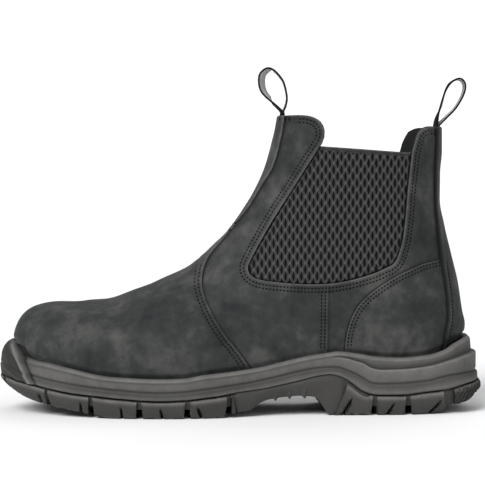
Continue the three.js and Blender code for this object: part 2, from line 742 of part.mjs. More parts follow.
function buildOutsole(stations) {
  const rings = OUTSOLE_RINGS.drop.map((drop, r) => (station) => {
    const top = soleLine('parting', station.along) - CLEARANCE;
    const [toe, side, heel] = ['toe', 'side', 'heel'].map((name) => OUTSOLE_RINGS[name][r]);
    return {
      reach: mixReach(station, toe, side, heel) + station.bumper * (1 - drop),
      height: THREE.MathUtils.lerp(top, soleLine('tread', station.along), drop),
    };
  });
  const block = ringSolid(stations, rings);
  return [...lugCutters(), ...grooveCutters()].reduce((body, cut) => body.subtract(cut), block);
}

// Gaps across the tread, one on each side of the middle, turned like a chevron.
function lugCutters() {
  const middle = CENTRE_GROOVE * LAST_WIDTH;
  return LUG_GAPS.along.flatMap((along, i) => [-1, 1].map((side) => {
    const box = new THREE.BoxGeometry(LUG_GAP, LAST_WIDTH, 2 * LUG_DEPTH);
    box.translate(0, side * LAST_WIDTH / 2, 0);
    box.rotateZ(side * THREE.MathUtils.degToRad(LUG_GAPS.turn[i]));
    box.translate(lastX(along), side * middle, soleLine('tread', along));
    return solid(box);
  }));
}

// Two grooves along the forefoot tread that follow its rise at the toe.
function grooveCutters() {
  const line = (offset) => Array.from({ length: GROOVE_STEPS + 1 }, (_, i) => {
    const along = THREE.MathUtils.lerp(GROOVE_SPAN.from, GROOVE_SPAN.to, i / GROOVE_STEPS);
    return at(lastX(along), soleLine('tread', along) + offset);
  });
  const outline = [...line(-LUG_DEPTH), ...line(LUG_DEPTH).reverse()];
  return [-1, 1].map((side) => {
    const y = side * CENTRE_GROOVE * LAST_WIDTH;
    return prism(outline, y - LUG_GAP / 2, y + LUG_GAP / 2);
  });
}

function buildInsole(stations) {
  const rings = [[INSOLE_THICKNESS, INSOLE_DRAFT], [0, 0]].map(([lift, draft]) => (station) => ({
    reach: wallInside - INSOLE_PLAY - draft,
    height: seatHeight(station.along) + CLEARANCE + lift,
  }));
  return ringSolid(stations, rings);
}

// Webbing loop on edge: a closed band whose two ends run down together inside the collar.
function buildLoop(foot, route) {
  const centre = at(lastX(foot.along), tall(foot.height));
  const half = STRAP_THICKNESS / 2;
  const legs = (side) => [
    at(centre.x + side * half - foot.slope * STRAP_TAIL, centre.y - STRAP_TAIL),
    at(centre.x + side * half, centre.y),
  ];
  const bend = route.across.map((across, i) => (
    at(centre.x + across * LOOP_HEIGHT, centre.y + route.up[i] * LOOP_HEIGHT)
  ));
  const line = new THREE.SplineCurve([...legs(-1), ...bend, ...legs(1).reverse()]);
  const path = line.getPoints(2 * (line.points.length - 1));
  const opening = shiftLine(path, -half).filter((p) => p.y > centre.y + 2 * STRAP_THICKNESS);
  const band = prism(shiftLine(path, half), -STRAP_WIDTH / 2, STRAP_WIDTH / 2);
  return band.subtract(prism(opening, -STRAP_WIDTH, STRAP_WIDTH));
}

const form = upperForm();
const stations = soleStations();
const boot = new THREE.Group();

const rubber = { color: 0x393a39, roughness: 0.8 };
const leather = { color: 0x3e4243, roughness: 0.7 };
const elastic = { color: 0x2c2d2d, roughness: 0.9 };
const webbing = { color: 0x161616, roughness: 0.85 };
const lining = { color: 0x4a4a48, roughness: 0.95 };

const pieces = [
  ['outsole', buildOutsole(stations), rubber],
  ['midsole', buildMidsole(form, stations), rubber],
  ['insole', buildInsole(stations), lining],
  ['upper', buildUpper(form), leather],
  ['vamp', buildVamp(form), leather],
  ['back_strip', buildBackStrip(form), leather],
  ['counter_outer', buildCounter(form, -1), leather],
  ['counter_inner', buildCounter(form, 1), leather],
  ['gore_outer', buildGore(form, -1), elastic],
  ['gore_inner', buildGore(form, 1), elastic],
  ['front_loop', buildLoop(FRONT_FOOT, FRONT_LOOP), webbing],
  ['rear_loop', buildLoop(REAR_FOOT, REAR_LOOP), webbing],
];
for (const [name, body, look] of pieces) {
  const mesh = new THREE.Mesh(geometryOf(body), new THREE.MeshStandardMaterial({ ...look, metalness: 0 }));
  mesh.name = name;
  boot.add(mesh);
}

// The origin is on the ground under the middle of the boot.
const extent = new THREE.Box3().setFromObject(boot);
const middle = extent.getCenter(new THREE.Vector3());
boot.position.set(-middle.x, -middle.y, -extent.min.z);

export default boot;
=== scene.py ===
"""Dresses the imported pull-on safety boot: leathers, elastic gores, stitching, loops and sole."""

import logging
import math
from dataclasses import dataclass, field
from enum import Enum
from typing import Callable, Sequence

import bmesh
import bpy
import numpy as np
from mathutils import Matrix, Vector
from mathutils.kdtree import KDTree


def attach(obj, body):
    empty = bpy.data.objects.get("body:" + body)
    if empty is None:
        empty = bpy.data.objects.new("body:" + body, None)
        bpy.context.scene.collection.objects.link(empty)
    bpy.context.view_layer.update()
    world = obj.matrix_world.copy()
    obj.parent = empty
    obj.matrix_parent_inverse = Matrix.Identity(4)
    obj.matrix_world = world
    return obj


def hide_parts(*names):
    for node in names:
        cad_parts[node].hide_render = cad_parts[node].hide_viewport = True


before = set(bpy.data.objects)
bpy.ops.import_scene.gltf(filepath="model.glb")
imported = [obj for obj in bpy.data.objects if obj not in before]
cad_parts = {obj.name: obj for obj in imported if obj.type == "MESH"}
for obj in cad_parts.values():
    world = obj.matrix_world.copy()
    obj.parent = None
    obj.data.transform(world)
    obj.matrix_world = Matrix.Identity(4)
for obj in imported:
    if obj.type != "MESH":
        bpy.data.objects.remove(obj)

log = logging.getLogger("boot")

Array = np.ndarray
Column = dict[str, Array]
Plane = tuple[Sequence[float], Sequence[float]]


def table(names: str, rows: Sequence[Sequence[float]]) -> Column:
    """Names the columns of a table.

    Args:
        names: column names with spaces between them.
        rows: one tuple of numbers for each row.

    Returns:
        One array for each column name.
    """
    return dict(zip(names.split(), np.array(rows, float).T))


# Driving sizes of the boot in millimetres, as in the part's own source.
LAST_LENGTH = 287.0
LAST_WIDTH = 95.0
COLLAR_HEIGHT = 189.0
SOLE_REACH = 10.0
SOLE_RISE = 40.0
SEAT_RISE = 29.0
GAP = 0.3
BUMPER_STEP = 1.5
LUG_DEPTH = 5.5
LUG_GAP = 4.5
CENTRE_GROOVE = 0.14
STRAP_WIDTH = 14.0
STRAP_THICKNESS = 1.3
STRAP_TAIL = 12.0
LOOP_HEIGHT = 31.0
# Where the last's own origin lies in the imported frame.
FRAME_SHIFT = np.array([-0.07, 2.08, 0.0])

# Shares of last length and width round its bottom, of last length and collar height up the upper,
# and of the sole's rise for the lines round the sole.
LAST_BOTTOM = table("along outer inner", [
    (0, 0.053, 0.053), (0.01, -0.095, 0.198), (0.028, -0.18, 0.282), (0.059, -0.272, 0.358),
    (0.108, -0.362, 0.421), (0.174, -0.438, 0.462), (0.237, -0.49, 0.479), (0.303, -0.516, 0.468),
    (0.369, -0.521, 0.432), (0.453, -0.49, 0.363), (0.537, -0.437, 0.305), (0.62, -0.4, 0.284),
    (0.704, -0.384, 0.295), (0.787, -0.384, 0.321), (0.871, -0.374, 0.342), (0.934, -0.326, 0.316),
    (0.972, -0.237, 0.247), (0.993, -0.132, 0.147), (1, 0.008, 0.008),
])
SECTIONS = table("topX topZ seat rise ridge outer inner widest crown skirt", [
    (0, 0.131, 0, 0, 0.053, 0, 0, 0.5, 2.4, 2.4),
    (-0.0084, 0.175, 0.9, 0, 0.053, 0.145, 0.145, 0.5, 2.3, 2.3),
    (-0.0111, 0.233, 2.0, 0, 0.053, 0.255, 0.25, 0.45, 2.3, 2.3),
    (-0.0049, 0.282, 3.0, 0, 0.053, 0.35, 0.33, 0.4, 2.3, 2.3),
    (0.0105, 0.323, 3.7, 0, 0.053, 0.415, 0.376, 0.36, 2.3, 2.3),
    (0.0366, 0.35, 4.4, 0, 0.053, 0.469, 0.41, 0.33, 2.3, 2.3),
    (0.08, 0.3646, 5.2, 0, 0.053, 0.521, 0.434, 0.31, 2.3, 2.4),
    (0.15, 0.366, 6.3, 0, 0.0505, 0.564, 0.445, 0.29, 2.25, 2.4),
    (0.2195, 0.3847, 7.3, 0, 0.046, 0.579, 0.432, 0.27, 2.25, 2.4),
    (0.289, 0.423, 8.3, 0, 0.04, 0.568, 0.396, 0.25, 2.15, 2.4),
    (0.352, 0.462, 9.3, 0, 0.032, 0.526, 0.35, 0.24, 2.05, 2.4),
    (0.404, 0.513, 10.4, 0, 0.023, 0.479, 0.326, 0.26, 2.0, 2.4),
    (0.4495, 0.578, 11.6, 0, 0.016, 0.442, 0.337, 0.29, 2.0, 2.4),
    (0.488, 0.6455, 12.9, 0, 0.0105, 0.421, 0.358, 0.33, 2.0, 2.5),
    (0.5157, 0.706, 14.2, 0, 0.008, 0.402, 0.368, 0.38, 2.05, 2.5),
    (0.535, 0.76, 15.6, 0, 0.008, 0.393, 0.37, 0.42, 2.1, 2.4),
    (0.5477, 0.803, 17.0, 0, 0.008, 0.387, 0.37, 0.45, 2.2, 2.3),
    (0.5568, 0.841, 18, 0, 0.008, 0.384, 0.37, 0.47, 2.2, 2.2),
    (0.5638, 0.877, 18, 0.3, 0.006, 0.381, 0.371, 0.49, 2.2, 2.15),
    (0.57, 0.914, 18, 0.49, 0.004, 0.379, 0.374, 0.5, 2.2, 2.15),
    (0.576, 0.952, 18, 0.7, 0, 0.379, 0.379, 0.5, 2.2, 2.15),
    (0.5833, 1.016, 18, 0.985, 0, 0.379, 0.379, 0.5, 2.2, 2.15),
])
BACK_LINE = table("height along", [
    (0.15, 1), (0.249, 1.0045), (0.286, 1.007), (0.33, 1.001), (0.43, 0.9906), (0.53, 0.9744),
    (0.63, 0.9585), (0.72, 0.9487), (0.8, 0.949), (0.88, 0.953), (1, 0.9526),
])
SEAT_LINE = table("along height", [
    (0, 0.845), (0.15, 0.69), (0.324, 0.603), (0.498, 0.69), (0.672, 0.93), (0.777, 1), (1, 1.017),
])
SOLE_LINES = table("along rim ledge band parting tread", [
    (0, 1.125, 1.035, 0.775, 0.6, 0.33), (0.016, 1.09, 0.98, 0.73, 0.575, 0.28),
    (0.028, 0.965, 0.88, 0.685, 0.545, 0.25), (0.042, 0.89, 0.8, 0.65, 0.515, 0.22),
    (0.087, 0.82, 0.74, 0.565, 0.43, 0.15), (0.136, 0.74, 0.66, 0.5, 0.365, 0.09),
    (0.185, 0.665, 0.59, 0.46, 0.335, 0.025), (0.215, 0.64, 0.565, 0.44, 0.315, 0),
    (0.317, 0.61, 0.535, 0.395, 0.273, 0), (0.366, 0.62, 0.545, 0.41, 0.285, 0),
    (0.41, 0.67, 0.595, 0.445, 0.315, 0), (0.445, 0.695, 0.62, 0.475, 0.345, 0),
    (0.478, 0.72, 0.65, 0.51, 0.39, 0.065), (0.51, 0.75, 0.675, 0.54, 0.415, 0.1),
    (0.53, 0.77, 0.7, 0.565, 0.43, 0.2), (0.56, 0.815, 0.74, 0.605, 0.467, 0.27),
    (0.62, 0.908, 0.833, 0.7, 0.555, 0.305), (0.655, 0.955, 0.88, 0.74, 0.615, 0.28),
    (0.672, 0.97, 0.895, 0.75, 0.635, 0.14), (0.687, 0.985, 0.91, 0.755, 0.645, 0),
    (0.703, 1, 0.925, 0.75, 0.625, 0), (0.725, 0.99, 0.905, 0.7, 0.56, 0),
    (0.744, 0.97, 0.865, 0.645, 0.458, 0), (0.76, 0.953, 0.83, 0.578, 0.378, 0),
    (0.78, 0.925, 0.75, 0.5, 0.327, 0), (0.8, 0.91, 0.725, 0.485, 0.315, 0),
    (0.84, 0.898, 0.73, 0.49, 0.313, 0), (0.9, 0.93, 0.775, 0.53, 0.36, 0),
    (0.94, 1.01, 0.85, 0.6, 0.4, 0), (0.965, 1.11, 0.9, 0.62, 0.45, 0),
    (1, 1.1875, 0.955, 0.635, 0.5, 0.02),
])
# Rings down the sole's side. Line: 0 rim, 1 ledge, 2 band, 3 parting. Steps are shares of the
# sole's rise, reaches of its reach. Tone is the finish's mark at the ring, face the one below it:
# above 0 a painted highlight on lips, lines and the upper band, below 0 painted shade in the band's
# groove.
MIDSOLE_RINGS = table("line step toe side heel tone face", [
    (0, 0, 0.44, 0.34, 0.3, 0.5, 0.7), (0, -0.045, 0.7, 0.5, 0.5, 0.95, 0.1),
    (1, 0, 0.83, 0.56, 0.62, 0.15, 0.3), (1, -0.03, 0.85, 0.57, 0.85, 0.5, 0.5),
    (2, 0.03, 0.92, 0.56, 0.88, 0.4, 0.0), (2, 0, 0.84, 0.46, 0.8, -0.35, -0.1),
    (2, -0.03, 0.98, 0.54, 0.98, 0.1, 0.0), (3, 0, 0.92, 0.43, 1.0, 0.9, 0.0),
])
OUTSOLE_RINGS = table("drop toe side heel", [
    (0, 0.92, 0.43, 1.0), (0.16, 1.02, 0.6, 1.16), (0.5, 0.85, 0.55, 1.1), (1, 0.25, 0.36, 0.0),
])
LUG_GAPS = table("along turn", [
    (0.105, 24), (0.195, 14), (0.283, 5), (0.365, -4), (0.437, -12), (0.775, -6), (0.873, 8),
])
FRONT_TAB = table("along height", [
    (0.613, 0.998), (0.6247, 0.9975), (0.6425, 0.994), (0.66, 0.9825), (0.6714, 0.965),
    (0.6756, 0.9407), (0.6735, 0.9138), (0.6659, 0.8926),
])
GORE_EDGE = table("along height", [
    (0.6659, 0.8926), (0.622, 0.786), (0.578, 0.68), (0.5387, 0.5804), (0.5146, 0.5138),
    (0.509, 0.487), (0.5167, 0.464), (0.5387, 0.4487), (0.5993, 0.4376), (0.6655, 0.434),
    (0.7206, 0.442), (0.7756, 0.4635), (0.8084, 0.4831), (0.833, 0.505), (0.849, 0.562),
    (0.858, 0.6455), (0.8641, 0.7296), (0.8707, 0.8132), (0.8742, 0.8698),
])
REAR_TAB = table("along height", [
    (0.8742, 0.8698), (0.8812, 0.9042), (0.8878, 0.933), (0.899, 0.9503), (0.9147, 0.9598),
    (0.93, 0.9603),
])
VAMP_EDGE = table("along height", [
    (0.594, 1.02), (0.592, 0.991), (0.5833, 0.9138), (0.568, 0.83), (0.539, 0.753), (0.513, 0.687),
    (0.48, 0.628), (0.45, 0.572), (0.426, 0.526), (0.413, 0.483), (0.4084, 0.4365), (0.415, 0.39),
    (0.4324, 0.331), (0.4564, 0.271), (0.4847, 0.218), (0.516, 0.15),
])
STRIP_EDGE = table("along height", [
    (0.934, 1.02), (0.934, 0.915), (0.9317, 0.813), (0.933, 0.712), (0.9355, 0.61), (0.9404, 0.525),
    (0.9484, 0.44), (0.953, 0.372), (0.9544, 0.3106), (0.947, 0.249), (0.939, 0.15),
])
COUNTER_EDGE = table("along height", [
    (0.9355, 0.51), (0.9, 0.4995), (0.872, 0.483), (0.838, 0.4605), (0.804, 0.43), (0.775, 0.398),
    (0.752, 0.362), (0.7365, 0.322), (0.727, 0.278), (0.7225, 0.236), (0.721, 0.15),
])
FRONT_LOOP = table("across up", [
    (-0.145, 0.1), (-0.292, 0.242), (-0.469, 0.384), (-0.582, 0.519), (-0.627, 0.684),
    (-0.605, 0.87), (-0.469, 0.985), (-0.334, 0.96), (-0.198, 0.83), (-0.105, 0.674),
    (-0.046, 0.397), (-0.069, 0.21), (-0.115, 0.1),
])
REAR_LOOP = table("across up", [
    (0.123, 0.06), (0.144, 0.265), (0.205, 0.494), (0.298, 0.761), (0.424, 0.93),
    (0.579, 1.0), (0.685, 0.93), (0.702, 0.784), (0.634, 0.597), (0.498, 0.377), (0.331, 0.203),
    (0.19, 0.06),
])
FRONT_FOOT = (0.6064, 0.996, 0.17)
REAR_FOOT = (0.927, 0.961, 0.0)
HEEL_ROW = len(LAST_BOTTOM["along"]) - 1


class Side(Enum):
    """The two sides of the boot; the value is the sign of y."""

    OUTER = -1
    INNER = 1


def last_x(along: Array | float) -> Array | float:
    """X in millimetres of a share of the last's length."""
    return (along - 0.5) * LAST_LENGTH


def row_value(column: Array, place: Array, before: float | None = None,
              after: float | None = None) -> Array:
    """Reads a column at places counted in rows, on a smooth curve through all rows.

    Args:
        column: the table's column.
        place: places counted in rows.
        before: value of the row before the first one.
        after: value of the row after the last one.

    Returns:
        One value for each place.
    """
    place = np.asarray(place, float)
    row = np.minimum(np.floor(place).astype(int), len(column) - 2)
    ends = (column[0] if before is None else before, column[-1] if after is None else after)
    padded = np.concatenate([[ends[0]], column, [ends[1]]])
    a, b, c, d = (padded[row + k] for k in range(4))
    t = place - row
    return b + 0.5 * t * (c - a + t * (2 * a - 5 * b + 4 * c - d + t * (3 * (b - c) + d - a)))


def line_value(keys: Array, values: Array, key: Array | float) -> Array:
    """Reads one column where a rising one has the given value, without overshoot.

    Args:
        keys: the rising column.
        values: the column to read.
        key: values of the rising column.

    Returns:
        One value for each key.
    """
    key = np.clip(key, keys[0], keys[-1])
    row = np.clip(np.searchsorted(keys, key) - 1, 0, len(keys) - 2)
    slope = np.diff(values) / np.diff(keys)
    tangent = np.concatenate([[slope[0]], np.zeros(len(slope) - 1), [slope[-1]]])
    same = slope[:-1] * slope[1:] > 0
    total = np.where(same, slope[:-1] + slope[1:], 1)
    tangent[1:-1] = np.where(same, 2 * slope[:-1] * slope[1:] / total, 0)
    width = keys[row + 1] - keys[row]
    t = (key - keys[row]) / width
    rise = 3 * t**2 - 2 * t**3
    return (values[row] * (1 - rise) + values[row + 1] * rise
            + width * (tangent[row] * (t**3 - 2 * t**2 + t) + tangent[row + 1] * (t**3 - t**2)))


def step_between(value: Array, low: float, high: float) -> Array:
    """Soft step from 0 at low to 1 at high."""
    t = np.clip((value - low) / (high - low), 0, 1)
    return t * t * (3 - 2 * t)


def hump(value: Array, centre: float, width: float) -> Array:
    """Soft bell of height 1 at the centre."""
    return np.exp(-(((value - centre) / width) ** 2))


def sole_line(name: str, along: Array | float) -> Array:
    """Height in millimetres of one of the lines round the sole."""
    return SOLE_RISE * line_value(SOLE_LINES["along"], SOLE_LINES[name], along)


def seat_height(along: Array | float) -> Array:
    """Height in millimetres of the floor that the upper stands on."""
    return SEAT_RISE * line_value(SEAT_LINE["along"], SEAT_LINE["height"], along)


def bottom_outline(places: Array, side: Side, reach: Array | float = 0.0) -> Array:
    """Outline of the last's bottom, moved out by a reach.

    Args:
        places: places counted in rows, toe to heel.
        side: the side of the boot.
        reach: distance outwards in millimetres.

    Returns:
        One x, y pair for each place.
    """
    along = LAST_BOTTOM["along"]
    near, far = LAST_BOTTOM["outer"], LAST_BOTTOM["inner"]
    if side is Side.INNER:
        near, far = far, near

    def locate(at: Array) -> Array:
        """Point of the bare outline."""
        x = last_x(row_value(along, at, along[1], along[-2]))
        return np.stack([x, LAST_WIDTH * row_value(near, at, far[1], far[-2])], axis=-1)

    ahead = locate(np.minimum(places + 0.02, HEEL_ROW))
    step = ahead - locate(np.maximum(places - 0.02, 0))
    out = side.value * np.stack([-step[:, 1], step[:, 0]], axis=-1)
    out[places <= 0] = (-1, 0)
    out[places >= HEEL_ROW] = (1, 0)
    out /= np.linalg.norm(out, axis=1, keepdims=True)
    return locate(places) + out * np.broadcast_to(reach, places.shape)[:, None]


def smooth_polyline(points: Array, steps: int = 6) -> Array:
    """Catmull-Rom curve through points.

    Args:
        points: one row for each point.
        steps: steps between two of them.

    Returns:
        The curve's points.
    """
    places = np.linspace(0, len(points) - 1, (len(points) - 1) * steps + 1)
    ends = (2 * points[0] - points[1], 2 * points[-1] - points[-2])
    return np.stack([row_value(points[:, k], places, ends[0][k], ends[1][k])
                     for k in range(points.shape[1])], axis=-1)


def side_line(edge: Column, steps: int = 6) -> Array:
    """Smooth x, z line in millimetres through the rows of an edge table."""
    points = np.stack([last_x(edge["along"]), edge["height"] * COLLAR_HEIGHT], axis=-1)
    return smooth_polyline(points, steps)


def shifted(line: Array, distance: float) -> Array:
    """Line moved to the left of its direction.

    Args:
        line: the polyline's points.
        distance: how far, in millimetres; below 0 to the right.

    Returns:
        The moved points.
    """
    step = np.gradient(line, axis=0)
    step /= np.linalg.norm(step, axis=1, keepdims=True)
    return line + distance * np.stack([-step[:, 1], step[:, 0]], axis=-1)


def travelled(line: Array) -> Array:
    """Distance along a polyline at each of its points."""
    return np.cumsum(np.linalg.norm(np.diff(line, axis=0, prepend=line[:1]), axis=1))


def evenly(line: Array, pitch: float) -> Array:
    """Points at an even pitch along a polyline.

    Args:
        line: the polyline's points.
        pitch: wanted distance between two points.

    Returns:
        The points, both ends among them.
    """
    reached = travelled(line)
    goals = np.linspace(0, reached[-1], max(int(round(reached[-1] / pitch)), 1) + 1)
    return np.stack([np.interp(goals, reached, line[:, k]) for k in range(line.shape[1])], axis=-1)


def line_distance(points: Array, line: Array) -> Array:
    """Signed distance of points to a polyline: positive on the left of its direction.

    Args:
        points: array whose last axis is x, z.
        line: the polyline's points.

    Returns:
        One distance for each point.
    """
    flat = points.reshape(-1, 2)
    best = np.full(len(flat), np.inf)
    sign = np.ones(len(flat))
    for start, end in zip(line[:-1], line[1:]):
        way = end - start
        length = np.linalg.norm(way)
        if length < 1e-9:
            continue
        offset = flat - start
        t = np.clip(offset @ way / length**2, 0, 1)
        away = np.linalg.norm(offset - t[:, None] * way, axis=1)
        cross = (way[0] * offset[:, 1] - way[1] * offset[:, 0]) / length
        closer = (away < best - 1e-9) | ((away < best + 1e-9) & (np.abs(cross) > np.abs(sign)))
        sign = np.where(closer, cross, sign)
        best = np.where(closer, away, best)
    return (np.sign(sign) * best).reshape(points.shape[:-1])


@dataclass
class Sheet:
    """A grid of points on the last's surface with what the panels need at each of them."""

    points: Array
    normals: Array

    @property
    def seen(self) -> Array:
        """X and z of the points, as seen from the side."""
        return self.points[..., [0, 2]]

    def moved(self, distance: Array | float) -> Array:
        """Points moved outwards."""
        lift = np.broadcast_to(distance, self.points.shape[:2])
        return self.points + self.normals * lift[..., None]


@dataclass
class LastForm:
    """The outside of the upper: sections fanned from the toe to the collar."""

    trace_steps: int = 140
    last_row: float = len(SECTIONS["topX"]) - 1.0

    def traces(self, v: float) -> tuple[Array, Array]:
        """Both sides of the section at one place, from foot to ridge.

        Args:
            v: place counted in rows of the section table.

        Returns:
            The outer and the inner side's points.
        """
        value = {name: float(row_value(column, v)) for name, column in SECTIONS.items()}
        place = np.clip(value["seat"], 0, HEEL_ROW)
        ridge = LAST_WIDTH * value["ridge"]
        along = float(row_value(LAST_BOTTOM["along"], place, LAST_BOTTOM["along"][1], 1.0))
        foot = np.array([last_x(along), ridge, seat_height(along) + GAP])
        ends = {Side.OUTER: 0.0, Side.INNER: 0.0}
        if place > HEEL_ROW - 0.01:
            foot[0] = last_x(1.0)
            rise = value["rise"] * COLLAR_HEIGHT
            if rise > foot[2]:
                back = line_value(BACK_LINE["height"], BACK_LINE["along"], rise / COLLAR_HEIGHT)
                foot = np.array([last_x(float(back)), ridge, rise])
        else:
            for side in Side:
                y = bottom_outline(np.array([place]), side)[0, 1]
                ends[side] = max(side.value * (y - ridge), 0.0)
        top = np.array([last_x(value["topX"]), ridge, value["topZ"] * COLLAR_HEIGHT])
        found = []
        for side in Side:
            half = LAST_WIDTH * value["outer" if side is Side.OUTER else "inner"]
            ratio = np.clip(ends[side] / half if half > 0 else 0, 0, 0.995)
            tuck = math.acos(ratio ** (value["skirt"] / 2))
            tuck_share = math.sin(tuck) ** (2 / value["skirt"])
            low = np.linspace(tuck, 0, self.trace_steps + 1)[:-1]
            high = np.linspace(0, math.pi / 2, self.trace_steps + 1)
            across = np.concatenate([np.cos(low) ** (2 / value["skirt"]),
                                     np.maximum(np.cos(high), 0) ** (2 / value["crown"])])
            widest = value["widest"]
            share = np.concatenate([
                widest * (1 - np.sin(low) ** (2 / value["skirt"]) / tuck_share),
                widest + (1 - widest) * np.sin(high) ** (2 / value["crown"]),
            ])
            trace = foot + (top - foot) * share[:, None]
            trace[:, 1] = ridge + side.value * half * across
            found.append(trace)
        return found[0], found[1]

    def grid(self, rows: Array, girth: Array) -> Sheet:
        """Points of the form at section places and shares of the half girth.

        Args:
            rows: places counted in rows of the section table.
            girth: -1 at the outer foot, 0 at the ridge, 1 at the inner foot; it wraps at the back.

        Returns:
            The grid with its outward directions.
        """
        wrapped = (girth + 1) % 2 - 1
        share = 1 - np.abs(wrapped)
        points = np.empty((len(rows), len(girth), 3))
        for r, v in enumerate(rows):
            for side, trace in zip(Side, self.traces(float(v))):
                reached = travelled(trace)
                here = wrapped < 0 if side is Side.OUTER else wrapped >= 0
                for k in range(3):
                    points[r, here, k] = np.interp(share[here] * reached[-1], reached, trace[:, k])
        normals = np.cross(np.gradient(points, axis=0), np.gradient(points, axis=1))
        normals *= np.sign(girth[1] - girth[0])
        length = np.linalg.norm(normals, axis=2, keepdims=True)
        normals /= np.where(length > 1e-12, length, 1)
        return Sheet(points, normals)

    def even_rows(self, start: float, end: float, girth: float, pitch: float) -> Array:
        """Section places that lie an even pitch apart along one line of the girth.

        Args:
            start: first place, counted in rows of the section table.
            end: last place.
            girth: share of the half girth where the line runs.
            pitch: wanted distance in millimetres.

        Returns:
            The places.
        """
        rows = np.linspace(start, end, 160)
        line = self.grid(rows, np.array([girth - 0.01, girth, girth + 0.01])).points[:, 1]
        reached = travelled(line)
        count = int(round(reached[-1] / pitch))
        return np.interp(np.linspace(0, reached[-1], count + 1), reached, rows)


class SideMap:
    """Finds points of the form from their place in the side view."""

    def __init__(self, form: LastForm, side: Side) -> None:
        """Samples one side of the form.

        Args:
            form: the last's form.
            side: the side to sample.
        """
        rows = np.linspace(5.0, form.last_row, 360)
        self.sheet = form.grid(rows, side.value * np.linspace(0.03, 0.99, 190))
        self.tree = KDTree(self.sheet.points[..., 0].size)
        for i, (x, _, z) in enumerate(self.sheet.points.reshape(-1, 3)):
            self.tree.insert((x, 0.0, z), i)
        self.tree.balance()

    def locate(self, seen: Array) -> Sheet:
        """Surface points at x, z places of the side view.

        Args:
            seen: array whose last axis is x, z.

        Returns:
            Points and outward directions, in the same layout.
        """
        shape = seen.shape[:-1]
        flat = seen.reshape(-1, 2)
        near = [self.tree.find((x, 0.0, z))[1] for x, z in flat]
        base = self.sheet.points.reshape(-1, 3)[near]
        normal = self.sheet.normals.reshape(-1, 3)[near]
        flat_y = np.where(np.abs(normal[:, 1]) > 0.12, normal[:, 1], np.sign(normal[:, 1]) * 0.12)
        dx, dz = flat[:, 0] - base[:, 0], flat[:, 1] - base[:, 2]
        y = base[:, 1] - (normal[:, 0] * dx + normal[:, 2] * dz) / flat_y
        points = np.stack([flat[:, 0], y, flat[:, 1]], axis=-1)
        return Sheet(points.reshape(*shape, 3), normal.reshape(*shape, 3))


@dataclass
class Marks:
    """Numbers stored at a piece's vertices for its finish; edge holds its painted highlights and
    painted shade.
    """

    edge: Array | None = None
    chart: Array | None = None


def smooth_piece(name: str, bm: bmesh.types.BMesh, finish: bpy.types.Material) -> bpy.types.Object:
    """Makes an object from a finished bmesh and lets it ride on the boot.

    Args:
        name: the piece's name.
        bm: its mesh, in metres; freed here.
        finish: its material.

    Returns:
        The new object.
    """
    mesh = bpy.data.meshes.new(name)
    for face in bm.faces:
        face.smooth = True
    bm.to_mesh(mesh)
    bm.free()
    mesh.materials.append(finish)
    piece = bpy.data.objects.new(name, mesh)
    bpy.context.scene.collection.objects.link(piece)
    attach(piece, "root")
    return piece


def placed(points: Array) -> Array:
    """Millimetres of the last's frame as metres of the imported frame."""
    return (points + FRAME_SHIFT) * 0.001


def grid_mesh(points: Array, marks: Marks) -> bmesh.types.BMesh:
    """Bends a flat grid onto rows and columns of points.

    Args:
        points: rows x columns x 3, in millimetres.
        marks: numbers for the finish, in the same layout.

    Returns:
        The bent grid; its vertices are in row order.
    """
    rows, columns = points.shape[:2]
    bm = bmesh.new()
    bmesh.ops.create_grid(bm, x_segments=columns - 1, y_segments=rows - 1, size=1.0)
    # The edge layer carries the painted highlight and painted shade marks.
    edge = bm.verts.layers.float.new("edge")
    chart = bm.verts.layers.float_vector.new("chart")
    flat = placed(points).reshape(-1, 3)
    edges = np.zeros(len(flat)) if marks.edge is None else marks.edge.reshape(-1)
    charts = np.zeros((len(flat), 3)) if marks.chart is None else marks.chart.reshape(-1, 3)
    bm.verts.ensure_lookup_table()
    for vert, place, mark, at in zip(bm.verts, flat.tolist(), edges.tolist(), charts.tolist()):
        vert.co = place
        vert[edge] = mark
        vert[chart] = at
    return bm


def trimmed(sheet: Sheet, inside: Array, offset: Array | float, marks: Marks) -> bmesh.types.BMesh:
    """Cuts a sheet of the form to the places where a distance is positive.

    The vertices next to the cut move onto it, so the edge is clean.

    Args:
        sheet: the grid on the form.
        inside: distance to the panel's edge, positive inside, in millimetres.
        offset: distance of the panel's face from the form.
        marks: numbers for the finish.

    Returns:
        The cut panel.
    """
    settled = inside > 0.25
    cut = np.zeros_like(settled)
    shift = np.zeros(inside.shape)
    towards = np.zeros(sheet.points.shape)
    rows, columns = inside.shape
    for reach in ((1, 0), (-1, 0), (0, 1), (0, -1)), ((1, 1), (1, -1), (-1, 1), (-1, -1)):
        fresh = np.zeros_like(cut)
        for dr, dc in reach:
            r0, r1 = max(-dr, 0), rows - max(dr, 0)
            c0, c1 = max(-dc, 0), columns - max(dc, 0)
            here = (slice(r0, r1), slice(c0, c1))
            there = (slice(r0 + dr, r1 + dr), slice(c0 + dc, c1 + dc))
            t = inside[here] / np.minimum(inside[here] - inside[there], -1e-9)
            able = settled[there] & ~settled[here] & ~cut[here]
            better = able & (~fresh[here] | (np.abs(t) < np.abs(shift[here])))
            shift[here] = np.where(better, t, shift[here])
            way = sheet.points[there] - sheet.points[here]
            towards[here] = np.where(better[..., None], way, towards[here])
            fresh[here] |= better
        cut |= fresh
    points = sheet.points + towards * np.where(cut, shift, 0)[..., None]
    bent = Sheet(points, sheet.normals).moved(offset)
    bm = grid_mesh(bent, marks)
    used = settled | cut
    corners = [(slice(a, rows - 1 + a), slice(b, columns - 1 + b)) for a in (0, 1) for b in (0, 1)]
    kept = np.logical_and.reduce([used[c] for c in corners])
    kept &= np.logical_or.reduce([settled[c] for c in corners])
    dropped = [face for face, keep in zip(bm.faces, kept.reshape(-1).tolist()) if not keep]
    bmesh.ops.delete(bm, geom=dropped, context="FACES")
    return bm


